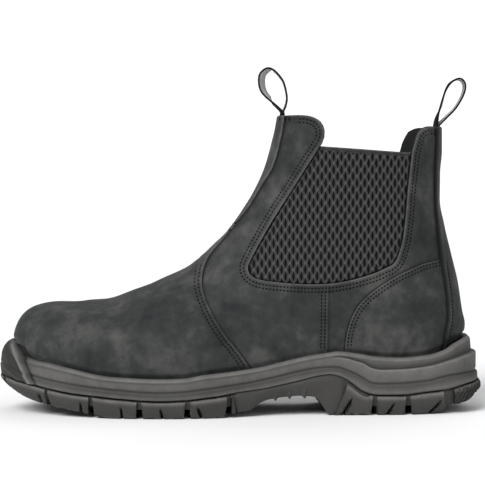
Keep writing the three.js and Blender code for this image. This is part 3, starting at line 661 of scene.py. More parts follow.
def round_edges(piece: bpy.types.Object, width: float, angle: float) -> None:
    """Rounds a piece's sharp edges.

    Args:
        piece: the piece.
        width: width of the rounding in millimetres.
        angle: edges that turn by more degrees than this are rounded.
    """
    bevel = piece.modifiers.new("edge", "BEVEL")
    bevel.width = width * 0.001
    bevel.segments = 2
    bevel.limit_method = "ANGLE"
    bevel.angle_limit = math.radians(angle)


def thicken(piece: bpy.types.Object, wall: float, round_off: float = 0.0) -> None:
    """Gives a panel its thickness inwards and a rounded edge.

    Args:
        piece: the panel.
        wall: thickness in millimetres.
        round_off: radius of its edges in millimetres; none leaves them as they are.
    """
    shell = piece.modifiers.new("wall", "SOLIDIFY")
    shell.thickness = wall * 0.001
    shell.offset = -1.0
    shell.use_even_offset = False
    if round_off:
        round_edges(piece, round_off, 55)


class Graph:
    """One material's nodes, added and linked by name."""

    def __init__(self, name: str) -> None:
        """Starts an empty material.

        Args:
            name: the material's name.
        """
        self.material = bpy.data.materials.new(name)
        self.material.use_nodes = True
        self.tree = self.material.node_tree
        self.tree.nodes.clear()

    def add(self, kind: str, inputs: dict | None = None, out: int | str = 0,
            **props: object) -> bpy.types.NodeSocket:
        """Adds a node, sets or links its inputs and gives one output.

        Args:
            kind: the node's type without its prefix.
            inputs: values or sockets by input name or index.
            out: the output to give.
            **props: properties of the node.

        Returns:
            The chosen output socket.
        """
        node = self.tree.nodes.new("ShaderNode" + kind)
        for key, value in props.items():
            setattr(node, key, value)
        for key, value in (inputs or {}).items():
            if isinstance(value, bpy.types.NodeSocket):
                self.tree.links.new(value, node.inputs[key])
            else:
                node.inputs[key].default_value = value
        return node.outputs[out] if node.outputs else node.inputs[0]

    def math(self, operation: str, a: object, b: object = 0.0) -> bpy.types.NodeSocket:
        """One Math node."""
        return self.add("Math", {0: a, 1: b}, operation=operation)

    def noise(self, at: object, scale: float, detail: float = 2.0,
              rough: float = 0.5) -> bpy.types.NodeSocket:
        """Noise value on coordinates."""
        inputs = {"Vector": at, "Scale": scale, "Detail": detail, "Roughness": rough}
        return self.add("TexNoise", inputs)

    def ramp(self, value: object,
             stops: Sequence[tuple[float, Sequence[float]]]) -> bpy.types.NodeSocket:
        """Colour ramp.

        Args:
            value: what is looked up.
            stops: place and colour of each stop.

        Returns:
            The colour.
        """
        node = self.tree.nodes.new("ShaderNodeValToRGB")
        self.tree.links.new(value, node.inputs[0])
        for i, (place, colour) in enumerate(stops):
            stop = node.color_ramp.elements[i] if i < 2 else node.color_ramp.elements.new(place)
            stop.position = place
            stop.color = (*colour, 1.0)
        return node.outputs[0]

    def mix(self, share: object, a: object, b: object) -> bpy.types.NodeSocket:
        """Mixes two colours.

        Args:
            share: how much of the second one there is.
            a: the first colour.
            b: the second colour.

        Returns:
            The mixed colour.
        """
        node = self.tree.nodes.new("ShaderNodeMix")
        node.data_type = "RGBA"
        for index, value in ((0, share), (6, a), (7, b)):
            if isinstance(value, bpy.types.NodeSocket):
                self.tree.links.new(value, node.inputs[index])
            else:
                node.inputs[index].default_value = value if index == 0 else (*value, 1.0)
        return node.outputs[2]

    def bump(self, height: object, depth: float, strength: float = 1.0,
             normal: object | None = None) -> bpy.types.NodeSocket:
        """Bump of a height from 0 to 1.

        Args:
            height: the height.
            depth: what a height of 1 stands for, in millimetres.
            strength: how strongly it counts.
            normal: an earlier bump to add to.

        Returns:
            The bent normal.
        """
        inputs = {"Height": height, "Distance": depth * 0.001, "Strength": strength}
        if normal is not None:
            inputs["Normal"] = normal
        return self.add("Bump", inputs)

    def surface(self, inputs: dict) -> bpy.types.Material:
        """Ends the material with a Principled shader.

        Args:
            inputs: the shader's values or sockets by name.

        Returns:
            The material.
        """
        shader = self.add("BsdfPrincipled", inputs)
        self.add("OutputMaterial", {"Surface": shader})
        return self.material


def grey(level: float, warm: float = 0.0) -> tuple[float, float, float]:
    """Linear colour of an 8-bit grey, a little warmer or cooler.

    Args:
        level: 8-bit value.
        warm: 8-bit steps from blue to red.

    Returns:
        Linear red, green and blue.
    """
    def linear(value: float) -> float:
        """One channel from 8-bit to linear."""
        share = max(value, 0) / 255
        return share / 12.92 if share < 0.04045 else ((share + 0.055) / 1.055) ** 2.4
    return linear(level + warm), linear(level + abs(warm) * 0.4), linear(level - warm * 0.8)


@dataclass(frozen=True)
class LeatherFinish:
    """Oiled, lightly brushed leather: mottled charcoal with fine grain, cut edges painted lighter
    as highlight and wear, furrows and overlap lines painted dark as shade.
    """

    dark: float = 27.0
    mid: float = 45.0
    light: float = 70.0
    grain: float = 950.0
    roughness: float = 0.66

    def build(self, name: str) -> bpy.types.Material:
        """Builds the material.

        Args:
            name: the material's name.

        Returns:
            The material.
        """
        g = Graph(name)
        at = g.add("TexCoord", out="Object")
        cloud = g.noise(at, 21.0, 4.0, 0.6)
        fleck = g.noise(at, 110.0, 4.0, 0.65)
        tone = g.math("ADD", g.math("MULTIPLY", cloud, 0.68), g.math("MULTIPLY", fleck, 0.32))
        colour = g.ramp(tone, [(0.37, grey(self.dark, -2)), (0.63, grey(self.light, 1)),
                               (0.5, grey(self.mid, -1))])
        edge = g.add("Attribute", out="Fac", attribute_name="edge")
        # Painted highlight with some wear: a mark above 0 lightens raised cut edges, broken up by
        # noise.
        worn = g.add("Clamp", {"Value": g.math("MULTIPLY", edge, g.noise(at, 260.0, 3.0))})
        colour = g.mix(worn, colour, grey(self.light + 26, 2))
        # Painted shade: a mark below 0 darkens stitch furrows and the leather beside overlapping
        # edges.
        groove = g.add("Clamp", {"Value": g.math("MULTIPLY", edge, -1.0)})
        colour = g.mix(groove, colour, grey(9, -1))
        cells = g.add("TexVoronoi", {"Vector": at, "Scale": self.grain}, feature="F1")
        nap = g.noise(at, 2600.0, 3.0, 0.6)
        height = g.math("ADD", g.math("MULTIPLY", cells, 0.6), g.math("MULTIPLY", nap, 0.5))
        normal = g.bump(height, 0.12, 0.7)
        normal = g.bump(g.noise(at, 170.0, 3.0, 0.6), 0.5, 0.35, normal)
        rough = g.math("ADD", g.math("MULTIPLY", fleck, -0.18), self.roughness + 0.09)
        return g.surface({"Base Color": colour, "Roughness": rough, "Normal": normal,
                          "Specular IOR Level": 0.22, "Sheen Weight": 0.03, "Sheen Roughness": 0.5})


@dataclass(frozen=True)
class RubberFinish:
    """Moulded rubber with a fine spark-eroded surface, painted highlights on its lips, lines and
    rib crests, and painted shade in its grooves and sipes.
    """

    level: float = 60.0
    spread: float = 10.0
    # Level of the painted highlight.
    painted_highlight_level: float = 116.0

    def build(self, name: str) -> bpy.types.Material:
        """Builds the material.

        Args:
            name: the material's name.

        Returns:
            The material.
        """
        g = Graph(name)
        at = g.add("TexCoord", out="Object")
        fine = g.noise(at, 1500.0, 3.0, 0.7)
        broad = g.noise(at, 34.0, 4.0, 0.6)
        tone = g.math("ADD", g.math("MULTIPLY", fine, 0.35), g.math("MULTIPLY", broad, 0.65))
        colour = g.ramp(tone, [(0.3, grey(self.level - self.spread, 1)),
                               (0.7, grey(self.level + self.spread, 1))])
        edge = g.add("Attribute", out="Fac", attribute_name="edge")
        # Painted highlight: a mark above 0 lightens lips, lines, lug edges and the upper band,
        # broken up by noise.
        painted_highlight_mask = g.math("MULTIPLY", edge, g.math("ADD", g.noise(at, 130.0, 4.0, 0.7), 0.1))
        colour = g.mix(g.add("Clamp", {"Value": painted_highlight_mask}), colour, grey(self.painted_highlight_level, 2))
        # Painted shade: a mark below 0 darkens grooves, sipes, the ribbed rear part and the line
        # beside the toe bumper.
        groove = g.add("Clamp", {"Value": g.math("MULTIPLY", edge, -1.0)})
        colour = g.mix(groove, colour, grey(10))
        normal = g.bump(g.math("ADD", fine, g.noise(at, 3200.0, 2.0)), 0.12, 0.8)
        rough = g.math("ADD", g.math("MULTIPLY", broad, 0.16), 0.62)
        return g.surface({"Base Color": colour, "Roughness": rough, "Normal": normal,
                          "Specular IOR Level": 0.25})


@dataclass(frozen=True)
class ElasticFinish:
    """Ribbed elastic: grey ribs with staggered slots between them, painted near black as shade."""

    rib: float = 84.0
    # Level of the painted shade in the slots.
    slot: float = 4.0

    def build(self, name: str) -> bpy.types.Material:
        """Builds the material.

        Args:
            name: the material's name.

        Returns:
            The material.
        """
        g = Graph(name)
        at = g.add("TexCoord", out="Object")
        depth = g.add("Attribute", out="Fac", attribute_name="edge")
        chart = g.add("Attribute", out="Vector", attribute_name="chart")
        yarn = g.add("TexWave", {"Vector": chart, "Scale": 1.1, "Distortion": 2.0, "Detail": 2.0},
                     bands_direction="Y")
        ribs = g.mix(g.math("MULTIPLY", yarn, 0.5), grey(self.rib - 12), grey(self.rib + 16))
        dust = g.noise(at, 900.0, 3.0, 0.7)
        ribs = g.mix(g.math("MULTIPLY", dust, 0.45), ribs, grey(self.rib - 30))
        # The edge mark paints shade: near black in the sunk slots, darker on the rib sides and
        # under the leather's edge; it also darkens the hem band.
        colour = g.mix(depth, ribs, grey(self.slot, -1))
        normal = g.bump(g.math("ADD", yarn, dust), 0.12, 0.6)
        return g.surface({"Base Color": colour, "Roughness": 0.86, "Normal": normal,
                          "Specular IOR Level": 0.15, "Sheen Weight": 0.03, "Sheen Roughness": 0.5})


@dataclass(frozen=True)
class WebbingFinish:
    """Woven tape in one colour; a pull loop takes one such finish outside and another on its inner
    face.
    """

    level: float = 20.0
    ribs: float = 0.4
    depth: float = 0.05

    def build(self, name: str) -> bpy.types.Material:
        """Builds the material.

        Args:
            name: the material's name.

        Returns:
            The material.
        """
        g = Graph(name)
        at = g.add("TexCoord", out="Object")
        chart = g.add("Attribute", out="Vector", attribute_name="chart")
        weave = g.add("TexWave", {"Vector": chart, "Scale": self.ribs, "Distortion": 1.0,
                                  "Detail": 2.0})
        across = g.add("TexWave", {"Vector": chart, "Scale": self.ribs * 0.8}, bands_direction="Y")
        yarn = g.math("MULTIPLY", weave, across)
        colour = g.mix(yarn, grey(self.level * 0.95), grey(self.level * 1.03))
        dust = g.math("MULTIPLY", g.noise(at, 200.0, 2.0), 0.5)
        colour = g.mix(dust, colour, grey(self.level * 0.9))
        normal = g.bump(yarn, self.depth, 0.6)
        return g.surface({"Base Color": colour, "Roughness": 0.85, "Normal": normal,
                          "Specular IOR Level": 0.15})


@dataclass
class Seams:
    """Lines of the panels' edges in the side view, in millimetres."""

    vamp: Array = field(default_factory=lambda: side_line(VAMP_EDGE))
    strip: Array = field(default_factory=lambda: side_line(STRIP_EDGE))
    counter: Array = field(default_factory=lambda: side_line(COUNTER_EDGE))
    window: Array = field(default_factory=lambda: side_line(GORE_EDGE))
    front_tab: Array = field(default_factory=lambda: side_line(FRONT_TAB))
    rear_tab: Array = field(default_factory=lambda: side_line(REAR_TAB))
    side_seam_top: tuple[float, float] = (53.2, 80.0)
    side_seam_lean: float = 0.02

    @property
    def throat(self) -> Array:
        """The leather's upper edge: front tab, gore window, rear tab."""
        return np.concatenate([self.front_tab[:-1], self.window[:-1], self.rear_tab])

    def leather(self, seen: Array) -> Array:
        """Distance inside the leather from collar and window.

        Args:
            seen: array whose last axis is x, z.

        Returns:
            One distance for each place.
        """
        line = self.throat
        ends = np.array([[-400.0, line[0, 1]]]), np.array([[400.0, line[-1, 1]]])
        return -line_distance(seen, np.concatenate([ends[0], line, ends[1]]))

    def ahead_of_vamp_edge(self, seen: Array) -> Array:
        """Distance inside the vamp from its rear edge."""
        return -line_distance(seen, self.vamp)

    def behind_strip_edge(self, seen: Array) -> Array:
        """Distance inside the back strip from its front edge."""
        return line_distance(seen, self.strip)

    def under_counter_edge(self, seen: Array) -> Array:
        """Distance inside the counter from its upper edge."""
        return line_distance(seen, self.counter)

    def above_rim(self, seen: Array) -> Array:
        """Height above the sole's edge."""
        return seen[..., 1] - sole_line("rim", seen[..., 0] / LAST_LENGTH + 0.5)

    def side_seam_x(self, height: Array) -> Array:
        """Where the seam from the gore down to the sole lies at a height."""
        return self.side_seam_top[0] - self.side_seam_lean * (self.side_seam_top[1] - height)


# Creases and swellings of the leather in the side view: two ends, half width and height in
# millimetres, and how much of it the outer and the inner side have.
CREASES = table("x0 z0 x1 z1 width height outer inner", [
    (-97, 68, -88, 44, 6.5, 0.55, 1, 0.9), (-83, 70, -68, 42, 8, -0.75, 1, 0.9),
    (-60, 80, -44, 50, 7, -0.55, 1, 0.7), (-47, 84, -30, 56, 7, 0.5, 0.9, 0.8),
    (-33, 92, -22, 66, 6, -0.5, 0.8, 1), (-10, 112, 8, 80, 7, -0.5, 0.7, 1),
    (-2, 96, 16, 66, 8, 0.4, 1, 0.6), (38, 74, 84, 66, 8, -0.5, 1, 0.8),
    (30, 64, 62, 54, 7, 0.45, 0.8, 1), (100, 100, 126, 88, 7, -0.45, 1, 0.8),
    (96, 84, 118, 72, 8, 0.5, 1, 1), (108, 150, 124, 128, 6, -0.4, 0.8, 1),
    (22, 150, 38, 132, 8, -0.4, 1, 0.7), (8, 128, 22, 108, 7, 0.4, 0.8, 1),
])


def creases(points: Array) -> Array:
    """Height in millimetres of the listed creases.

    Args:
        points: points of the form, whose last axis is x, y, z.

    Returns:
        One height for each point.
    """
    seen = points[..., [0, 2]]
    share = step_between(points[..., 1], -6, 10)
    height = np.zeros(points.shape[:2])
    for i in range(len(CREASES["x0"])):
        c = {name: column[i] for name, column in CREASES.items()}
        start = np.array([c["x0"], c["z0"]])
        way = np.array([c["x1"] - c["x0"], c["z1"] - c["z0"]])
        t = np.clip((seen - start) @ way / (way @ way), 0, 1)
        away = np.linalg.norm(seen - start - t[..., None] * way, axis=-1)
        worn = c["outer"] * (1 - share) + c["inner"] * share
        height += c["height"] * hump(away, 0.0, c["width"]) * worn
    return height


# Rolled edges and stitch furrows of the leathers, in millimetres.
ROLL_DEPTH, ROLL_WIDTH = 0.32, 0.55
FURROW_DEPTH, FURROW_WIDTH = 0.26, 0.6


def edge_relief(distance: Array, rows: Sequence[float]) -> Array:
    """Rolled edge of a panel, and the furrows of its stitch rows.

    Args:
        distance: distance inside the panel from its edge.
        rows: distances of the stitch rows from the edge.

    Returns:
        Height in millimetres.
    """
    relief = -ROLL_DEPTH * hump(np.maximum(distance, 0), 0.0, ROLL_WIDTH)
    for row in rows:
        relief -= FURROW_DEPTH * hump(distance, row, FURROW_WIDTH)
    return relief


def edge_marks(distance: Array, rows: Sequence[float]) -> Array:
    """Painted highlight, with some wear, on the cut edge and painted shade in the stitch furrows,
    for the finish.

    Args:
        distance: distance inside the panel from its edge.
        rows: distances of the stitch rows from the edge.

    Returns:
        The mark.
    """
    mark = hump(np.maximum(distance, 0), 0.0, 0.75)
    for row in rows:
        mark -= 0.3 * hump(distance, row, 0.5)
    return mark


@dataclass
class Leathers:
    """The leather panels: vamp with front strip, quarters, counters, back strip and lining."""

    form: LastForm
    seams: Seams
    finish: bpy.types.Material
    lining_finish: bpy.types.Material
    pitch: float = 0.95
    overlay_wall: float = 1.1
    quarter_face: float = -1.0
    quarter_wall: float = 1.3
    lining_face: float = -2.5
    lining_wall: float = 1.1
    throat_rows: tuple[float, float] = (2.6, 4.8)
    vamp_rows: tuple[float, float] = (2.0, 4.4)
    counter_rows: tuple[float, float] = (1.3, 3.5)
    strip_rows: tuple[float, ...] = (4.0,)
    side_rows: tuple[float, float] = (1.8, 4.2)
    under_lap: float = 5.0
    foot_hidden: float = 1.2
    foot_depth: float = 1.5
    counter_face: float = -0.15
    # Heights between which an edge turns into a sewn one, going down.
    vamp_sewn: tuple[float, float] = (106.0, 96.0)
    strip_sewn: tuple[float, float] = (98.0, 90.0)
    side_sewn: tuple[float, float] = (82.0, 76.0)

    def tuck(self, seen: Array, depth: float) -> Array:
        """How far a panel's foot turns in behind the sole's edge."""
        return -depth * (1 - step_between(self.seams.above_rim(seen), -0.5, 3.2))

    def build(self) -> list[bpy.types.Object]:
        """Builds all panels.

        Returns:
            The pieces.
        """
        pieces = [self.vamp(), self.back_strip(), self.lining()]
        pieces += [self.quarter(side) for side in Side] + [self.counter(side) for side in Side]
        return pieces

    def vamp(self) -> bpy.types.Object:
        """Vamp from the toe up the instep, with the front strip.

        Returns:
            The piece.
        """
        rows = self.form.even_rows(0.5, self.form.last_row, 0.04, self.pitch)
        sheet = self.form.grid(rows, np.linspace(-0.985, 0.985, 240))
        seen = sheet.seen
        edge = self.seams.ahead_of_vamp_edge(seen)
        top = self.seams.leather(seen)
        inside = np.minimum(np.minimum(edge, top), self.seams.above_rim(seen) + self.foot_hidden)
        sewn = step_between(seen[..., 1], *self.vamp_sewn)
        low = edge_relief(edge, self.vamp_rows) * sewn + edge_relief(edge, ()) * (1 - sewn)
        strip = hump(edge, 6.2, 0.5) * (1 - sewn) * -0.35
        lift = (creases(sheet.points) + low + strip + edge_relief(top, ())
                + self.tuck(seen, self.foot_depth))
        # Painted highlight on the cut edges; the front strip above the stitching is painted
        # lighter; painted shade along the sewn edge and in its stitch furrows.
        mark = edge_marks(edge, ()) + edge_marks(top, ())
        mark += 0.2 * (1 - sewn) * step_between(9.0 - edge, 0, 2)
        furrows = sum(hump(edge, row, 0.5) for row in self.vamp_rows)
        mark -= sewn * (0.35 * furrows + 0.5 * hump(edge, 0.0, 0.6))
        bm = trimmed(sheet, inside, lift, Marks(edge=mark))
        return self.finished("vamp_leather", bm, self.overlay_wall, "vamp")

    def back_strip(self) -> bpy.types.Object:
        """Strip over the back seam, from the sole to the rear tab.

        Returns:
            The piece.
        """
        rows = self.form.even_rows(14.5, self.form.last_row, -1.0, self.pitch)
        sheet = self.form.grid(rows, np.linspace(-1.32, -0.68, 110))
        seen = sheet.seen
        edge = self.seams.behind_strip_edge(seen)
        top = self.seams.leather(seen)
        inside = np.minimum(np.minimum(edge, top), self.seams.above_rim(seen) + self.foot_hidden)
        sewn = step_between(seen[..., 1], *self.strip_sewn)
        lift = (creases(sheet.points) + edge_relief(edge, self.strip_rows) * sewn
                + edge_relief(edge, ()) * (1 - sewn) + edge_relief(top, ())
                + self.tuck(seen, self.foot_depth))
        # Painted highlight on the top edge and on the fold beside the front edge; painted shade in
        # the groove along that edge and in the stitch furrow.
        mark = edge_marks(top, ()) - 0.3 * sewn * hump(edge, self.strip_rows[0], 0.5)
        mark += 0.45 * hump(edge, 2.6, 0.7) - 1.1 * hump(edge, 0.2, 1.5)
        bm = trimmed(sheet, inside, lift, Marks(edge=mark))
        return self.finished("back_strip_leather", bm, self.overlay_wall, "back_strip")

    def side_sheet(self, side: Side, first_row: float, pitch: float) -> Sheet:
        """Grid over one side behind the vamp's edge."""
        rows = self.form.even_rows(first_row, self.form.last_row, side.value * 0.35, pitch)
        return self.form.grid(rows, side.value * np.linspace(0.02, 0.998, 165)[::side.value])

    def quarter(self, side: Side) -> bpy.types.Object:
        """Quarter: the leather round the gore, under vamp, counter and back strip.

        Args:
            side: the side of the boot.

        Returns:
            The piece.
        """
        sheet = self.side_sheet(side, 7.5, 0.8)
        seen = sheet.seen
        vamp = self.seams.ahead_of_vamp_edge(seen)
        strip = self.seams.behind_strip_edge(seen)
        counter = self.seams.under_counter_edge(seen)
        throat = self.seams.leather(seen)
        inside = np.minimum.reduce([*(self.under_lap - over for over in (vamp, strip, counter)),
                                    throat, self.seams.above_rim(seen) + self.foot_hidden])
        seam = seen[..., 0] - self.seams.side_seam_x(seen[..., 1])
        low = step_between(seen[..., 1], *self.side_sewn)
        step = -0.55 * step_between(seam, -0.3, 0.7) * low
        furrows = sum(hump(seam, -row, FURROW_WIDTH) for row in self.side_rows)
        furrow = -FURROW_DEPTH * furrows * low
        lift = (creases(sheet.points) + edge_relief(throat, self.throat_rows) + step + furrow
                + self.quarter_face + self.tuck(seen, 0.7))
        # Painted shadow on the quarter just outside the vamp, back strip and counter edges that lie
        # over it.
        near = np.maximum.reduce([hump(np.minimum(over, 0), 0.0, wide)
                                  for over, wide in ((vamp, 1.3), (strip, 1.6), (counter, 0.9))])
        mark = edge_marks(throat, self.throat_rows) - near
        # At the side seam: painted highlight on its edge, painted shade at the step behind it.
        mark += low * (0.5 * hump(seam, -0.5, 0.4) - 0.8 * hump(seam, 0.6, 0.5))
        bm = trimmed(sheet, inside, lift, Marks(edge=mark))
        return self.finished(f"quarter_{side.name.lower()}_leather", bm, self.quarter_wall, "upper")

    def counter(self, side: Side) -> bpy.types.Object:
        """Counter on one side of the heel.

        Args:
            side: the side of the boot.

        Returns:
            The piece.
        """
        sheet = self.side_sheet(side, 11.0, 0.8)
        seen = sheet.seen
        edge = self.seams.under_counter_edge(seen)
        strip = -self.seams.behind_strip_edge(seen) - 0.2
        inside = np.minimum.reduce([edge, strip, self.seams.above_rim(seen) + self.foot_hidden])
        lift = (creases(sheet.points) + edge_relief(edge, self.counter_rows)
                + edge_relief(strip, ()) * 0.8 + self.tuck(seen, self.foot_depth)
                + self.counter_face)
        # Painted highlight on the upper edge, painted shade in its stitch furrows and beside the
        # back strip.
        mark = 0.6 * edge_marks(edge, self.counter_rows) - hump(np.maximum(strip, 0), 0.0, 1.0)
        bm = trimmed(sheet, inside, lift, Marks(edge=mark))
        node = f"counter_{side.name.lower()}"
        return self.finished(f"{node}_leather", bm, self.overlay_wall, node)

    def lining(self) -> bpy.types.Object:
        """Lining behind the leather, down to the insole.

        Returns:
            The piece.
        """
        rows = self.form.even_rows(0.6, self.form.last_row, 0.04, 2.2)
        sheet = self.form.grid(rows, np.linspace(-1.0, 1.0, 131))
        throat = self.seams.leather(sheet.seen)
        bm = trimmed(sheet, throat, creases(sheet.points) + self.lining_face, Marks())
        bmesh.ops.remove_doubles(bm, verts=bm.verts, dist=2e-5)
        bmesh.ops.reverse_faces(bm, faces=bm.faces)
        piece = smooth_piece("collar_lining", bm, self.lining_finish)
        thicken(piece, self.lining_wall, 0.2)
        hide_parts("upper")
        return piece

    def finished(self, name: str, bm: bmesh.types.BMesh, wall: float,
                 node: str) -> bpy.types.Object:
        """Turns a cut panel into a piece with its wall.

        Args:
            name: the piece's name.
            bm: the cut panel.
            wall: its thickness in millimetres.
            node: the CAD node that it stands for.

        Returns:
            The piece.
        """
        bmesh.ops.remove_doubles(bm, verts=bm.verts, dist=1e-6)
        bmesh.ops.reverse_faces(bm, faces=bm.faces)
        piece = smooth_piece(name, bm, self.finish)
        thicken(piece, wall, 0.28)
        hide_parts(node)
        return piece


@dataclass
class Gore:
    """One elastic gore: wavy upright ribs with staggered slots and a folded hem."""

    side: Side
    surface: SideMap
    seams: Seams
    finish: bpy.types.Material
    rib_pitch: float = 2.5
    slot_period: float = 8.3
    slot_width: float = 0.31
    slot_length: float = 0.40
    slot_depth: float = 1.0
    face: float = -1.9
    wall: float = 1.2
    hem: float = 2.2
    hem_rise: float = 0.35
    rib_crown: float = 0.22
    lap: float = 1.6
    dive: float = 1.0
    columns_per_rib: int = 6
    rows_per_slot: int = 14

    def build(self) -> bpy.types.Object:
        """Builds the gore.

        Returns:
            The piece.
        """
        window = self.seams.window
        low, high = window.min(axis=0) - 2.0, window.max(axis=0) + 2.0
        xs = np.arange(low[0], high[0], self.rib_pitch / self.columns_per_rib)
        zs = np.arange(low[1], high[1], self.slot_period / self.rows_per_slot)
        seen = np.stack(np.meshgrid(xs, zs), axis=-1)
        sheet = self.surface.locate(seen)
        framed = line_distance(seen, window)
        top = -line_distance(seen, window[[0, -1]])
        inside = np.minimum(framed + self.lap, top)
        column = np.floor(seen[..., 0] / self.rib_pitch)
        across = seen[..., 0] / self.rib_pitch - column - 0.5
        along = (seen[..., 1] / self.slot_period + 0.5 * (column % 2)) % 1 - 0.5
        lens = (across / self.slot_width) ** 2 + (along / self.slot_length) ** 2
        slot = (1 - step_between(lens, 0.6, 1.1)) * step_between(top, self.hem, self.hem + 0.8)
        rounding = -self.rib_crown * (2 * across) ** 2 * step_between(top, self.hem, self.hem + 0.5)
        fold = self.hem_rise * (1 - step_between(top, self.hem - 0.3, self.hem + 0.3))
        dive = -self.dive * (1 - step_between(framed, -0.6, self.lap))
        lift = self.face - self.slot_depth * slot + rounding + fold + dive
        # Painted shade: the sunk slots, the rib sides and the elastic under the leather's edge are
        # darkened; the hem band below its top line is painted darker too.
        shade = 1 - step_between(framed, -0.4, 1.8)
        flank = 0.75 * (2 * np.abs(across)) ** 2 * (top > self.hem)
        mark = np.clip(slot + flank + 0.85 * shade + 0.62 * (top < self.hem) * (top > 0.7), 0, 1)
        chart = np.stack([seen[..., 0], seen[..., 1], np.zeros(seen.shape[:2])], axis=-1)
        bm = trimmed(sheet, inside, lift, Marks(edge=mark, chart=chart))
        if self.side is Side.INNER:
            bmesh.ops.reverse_faces(bm, faces=bm.faces)
        name = self.side.name.lower()
        piece = smooth_piece(f"gore_{name}_elastic", bm, self.finish)
        thicken(piece, self.wall)
        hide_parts(f"gore_{name}")
        return piece


@dataclass
class Stitching:
    """All seams' stitches: short thread beads sunk into their furrows."""

    surfaces: dict[Side, SideMap]
    seams: Seams
    leathers: Leathers
    finish: bpy.types.Material
    pitch: float = 2.2
    length: float = 1.3
    width: float = 1.1
    height: float = 0.3
    sunk: float = -0.15
    floor: float = 2.5
    vamp_top: float = 99.0
    strip_top: float = 94.0
    side_ends: tuple[float, float] = (77.0, 36.0)
    tack_levels: tuple[float, ...] = (188.2, 187.3, 186.4, 185.5)
    tack_ends: tuple[float, float] = (24.4, 29.6)

    def rows(self) -> list[tuple[Array, float]]:
        """Stitch lines in the side view.

        Returns:
            Each line with the distance of the face that it lies on from the form.
        """
        lines = []
        quarter = self.leathers.quarter_face + self.sunk
        for row in self.leathers.throat_rows:
            lines.append((shifted(self.seams.throat[6:], -row), quarter))
        vamp = self.seams.vamp[self.seams.vamp[:, 1] < self.vamp_top]
        for row in self.leathers.vamp_rows:
            lines.append((shifted(vamp, -row), self.sunk))
        for row in self.leathers.counter_rows:
            face = self.leathers.counter_face + self.sunk
            lines.append((shifted(self.seams.counter, row), face))
        strip = self.seams.strip[self.seams.strip[:, 1] < self.strip_top]
        for row in self.leathers.strip_rows:
            lines.append((shifted(strip, row), self.sunk))
        heights = np.linspace(*self.side_ends, 30)
        seam = np.column_stack([self.seams.side_seam_x(heights), heights])
        for row in self.leathers.side_rows:
            lines.append((seam - (row, 0), quarter))
        for level in self.tack_levels:
            lines.append((np.array([[end, level] for end in self.tack_ends]), 0.05))
        return lines

    def build(self) -> list[bpy.types.Object]:
        """Sews both sides.

        Returns:
            One piece for each side.
        """
        return [self.sew(side) for side in Side]

    def sew(self, side: Side) -> bpy.types.Object:
        """Sews one side.

        Args:
            side: the side of the boot.

        Returns:
            The joined stitches.
        """
        bm, holder = bmesh.new(), bpy.data.meshes.new("seam_holder")
        for line, face in self.rows():
            seam = bmesh.new()
            places = evenly(line, self.pitch)
            shown = (self.seams.above_rim(places) > self.floor) & (self.seams.leather(places) > 0.8)
            sheet = self.surfaces[side].locate(places)
            points = sheet.points + sheet.normals * (face + creases(sheet.points[None])[0])[:, None]
            tangents = np.gradient(points, axis=0)
            for point, normal, tangent, show in zip(points, sheet.normals, tangents, shown):
                # Low down, no stitch runs over the ridge, where the side view can't place it.
                if show and abs(normal[1]) > (0.4 if point[2] < 150 else 0.05):
                    self.bead(seam, point, normal, tangent)
            seam.to_mesh(holder)
            seam.free()
            bm.from_mesh(holder)
        bpy.data.meshes.remove(holder)
        name = side.name.lower()
        return smooth_piece(f"stitches_{name}", bm, self.finish)

    def bead(self, bm: bmesh.types.BMesh, point: Array, normal: Array, tangent: Array) -> None:
        """Adds one stitch.

        Args:
            bm: the mesh to add to.
            point: its middle, in millimetres.
            normal: outward direction.
            tangent: direction of the seam.
        """
        along = Vector(tangent).normalized()
        out = Vector(normal)
        out = (out - along * out.dot(along)).normalized()
        across = out.cross(along)
        sizes = (self.length / 2, self.width / 2, self.height)
        place = Matrix.Translation(Vector(placed(point)))
        turn = Matrix([along, across, out]).transposed().to_4x4()
        scale = Matrix.Diagonal((*(s * 0.001 for s in sizes), 1.0))
        bmesh.ops.create_uvsphere(bm, u_segments=8, v_segments=5, radius=1.0,
                                  matrix=place @ turn @ scale)


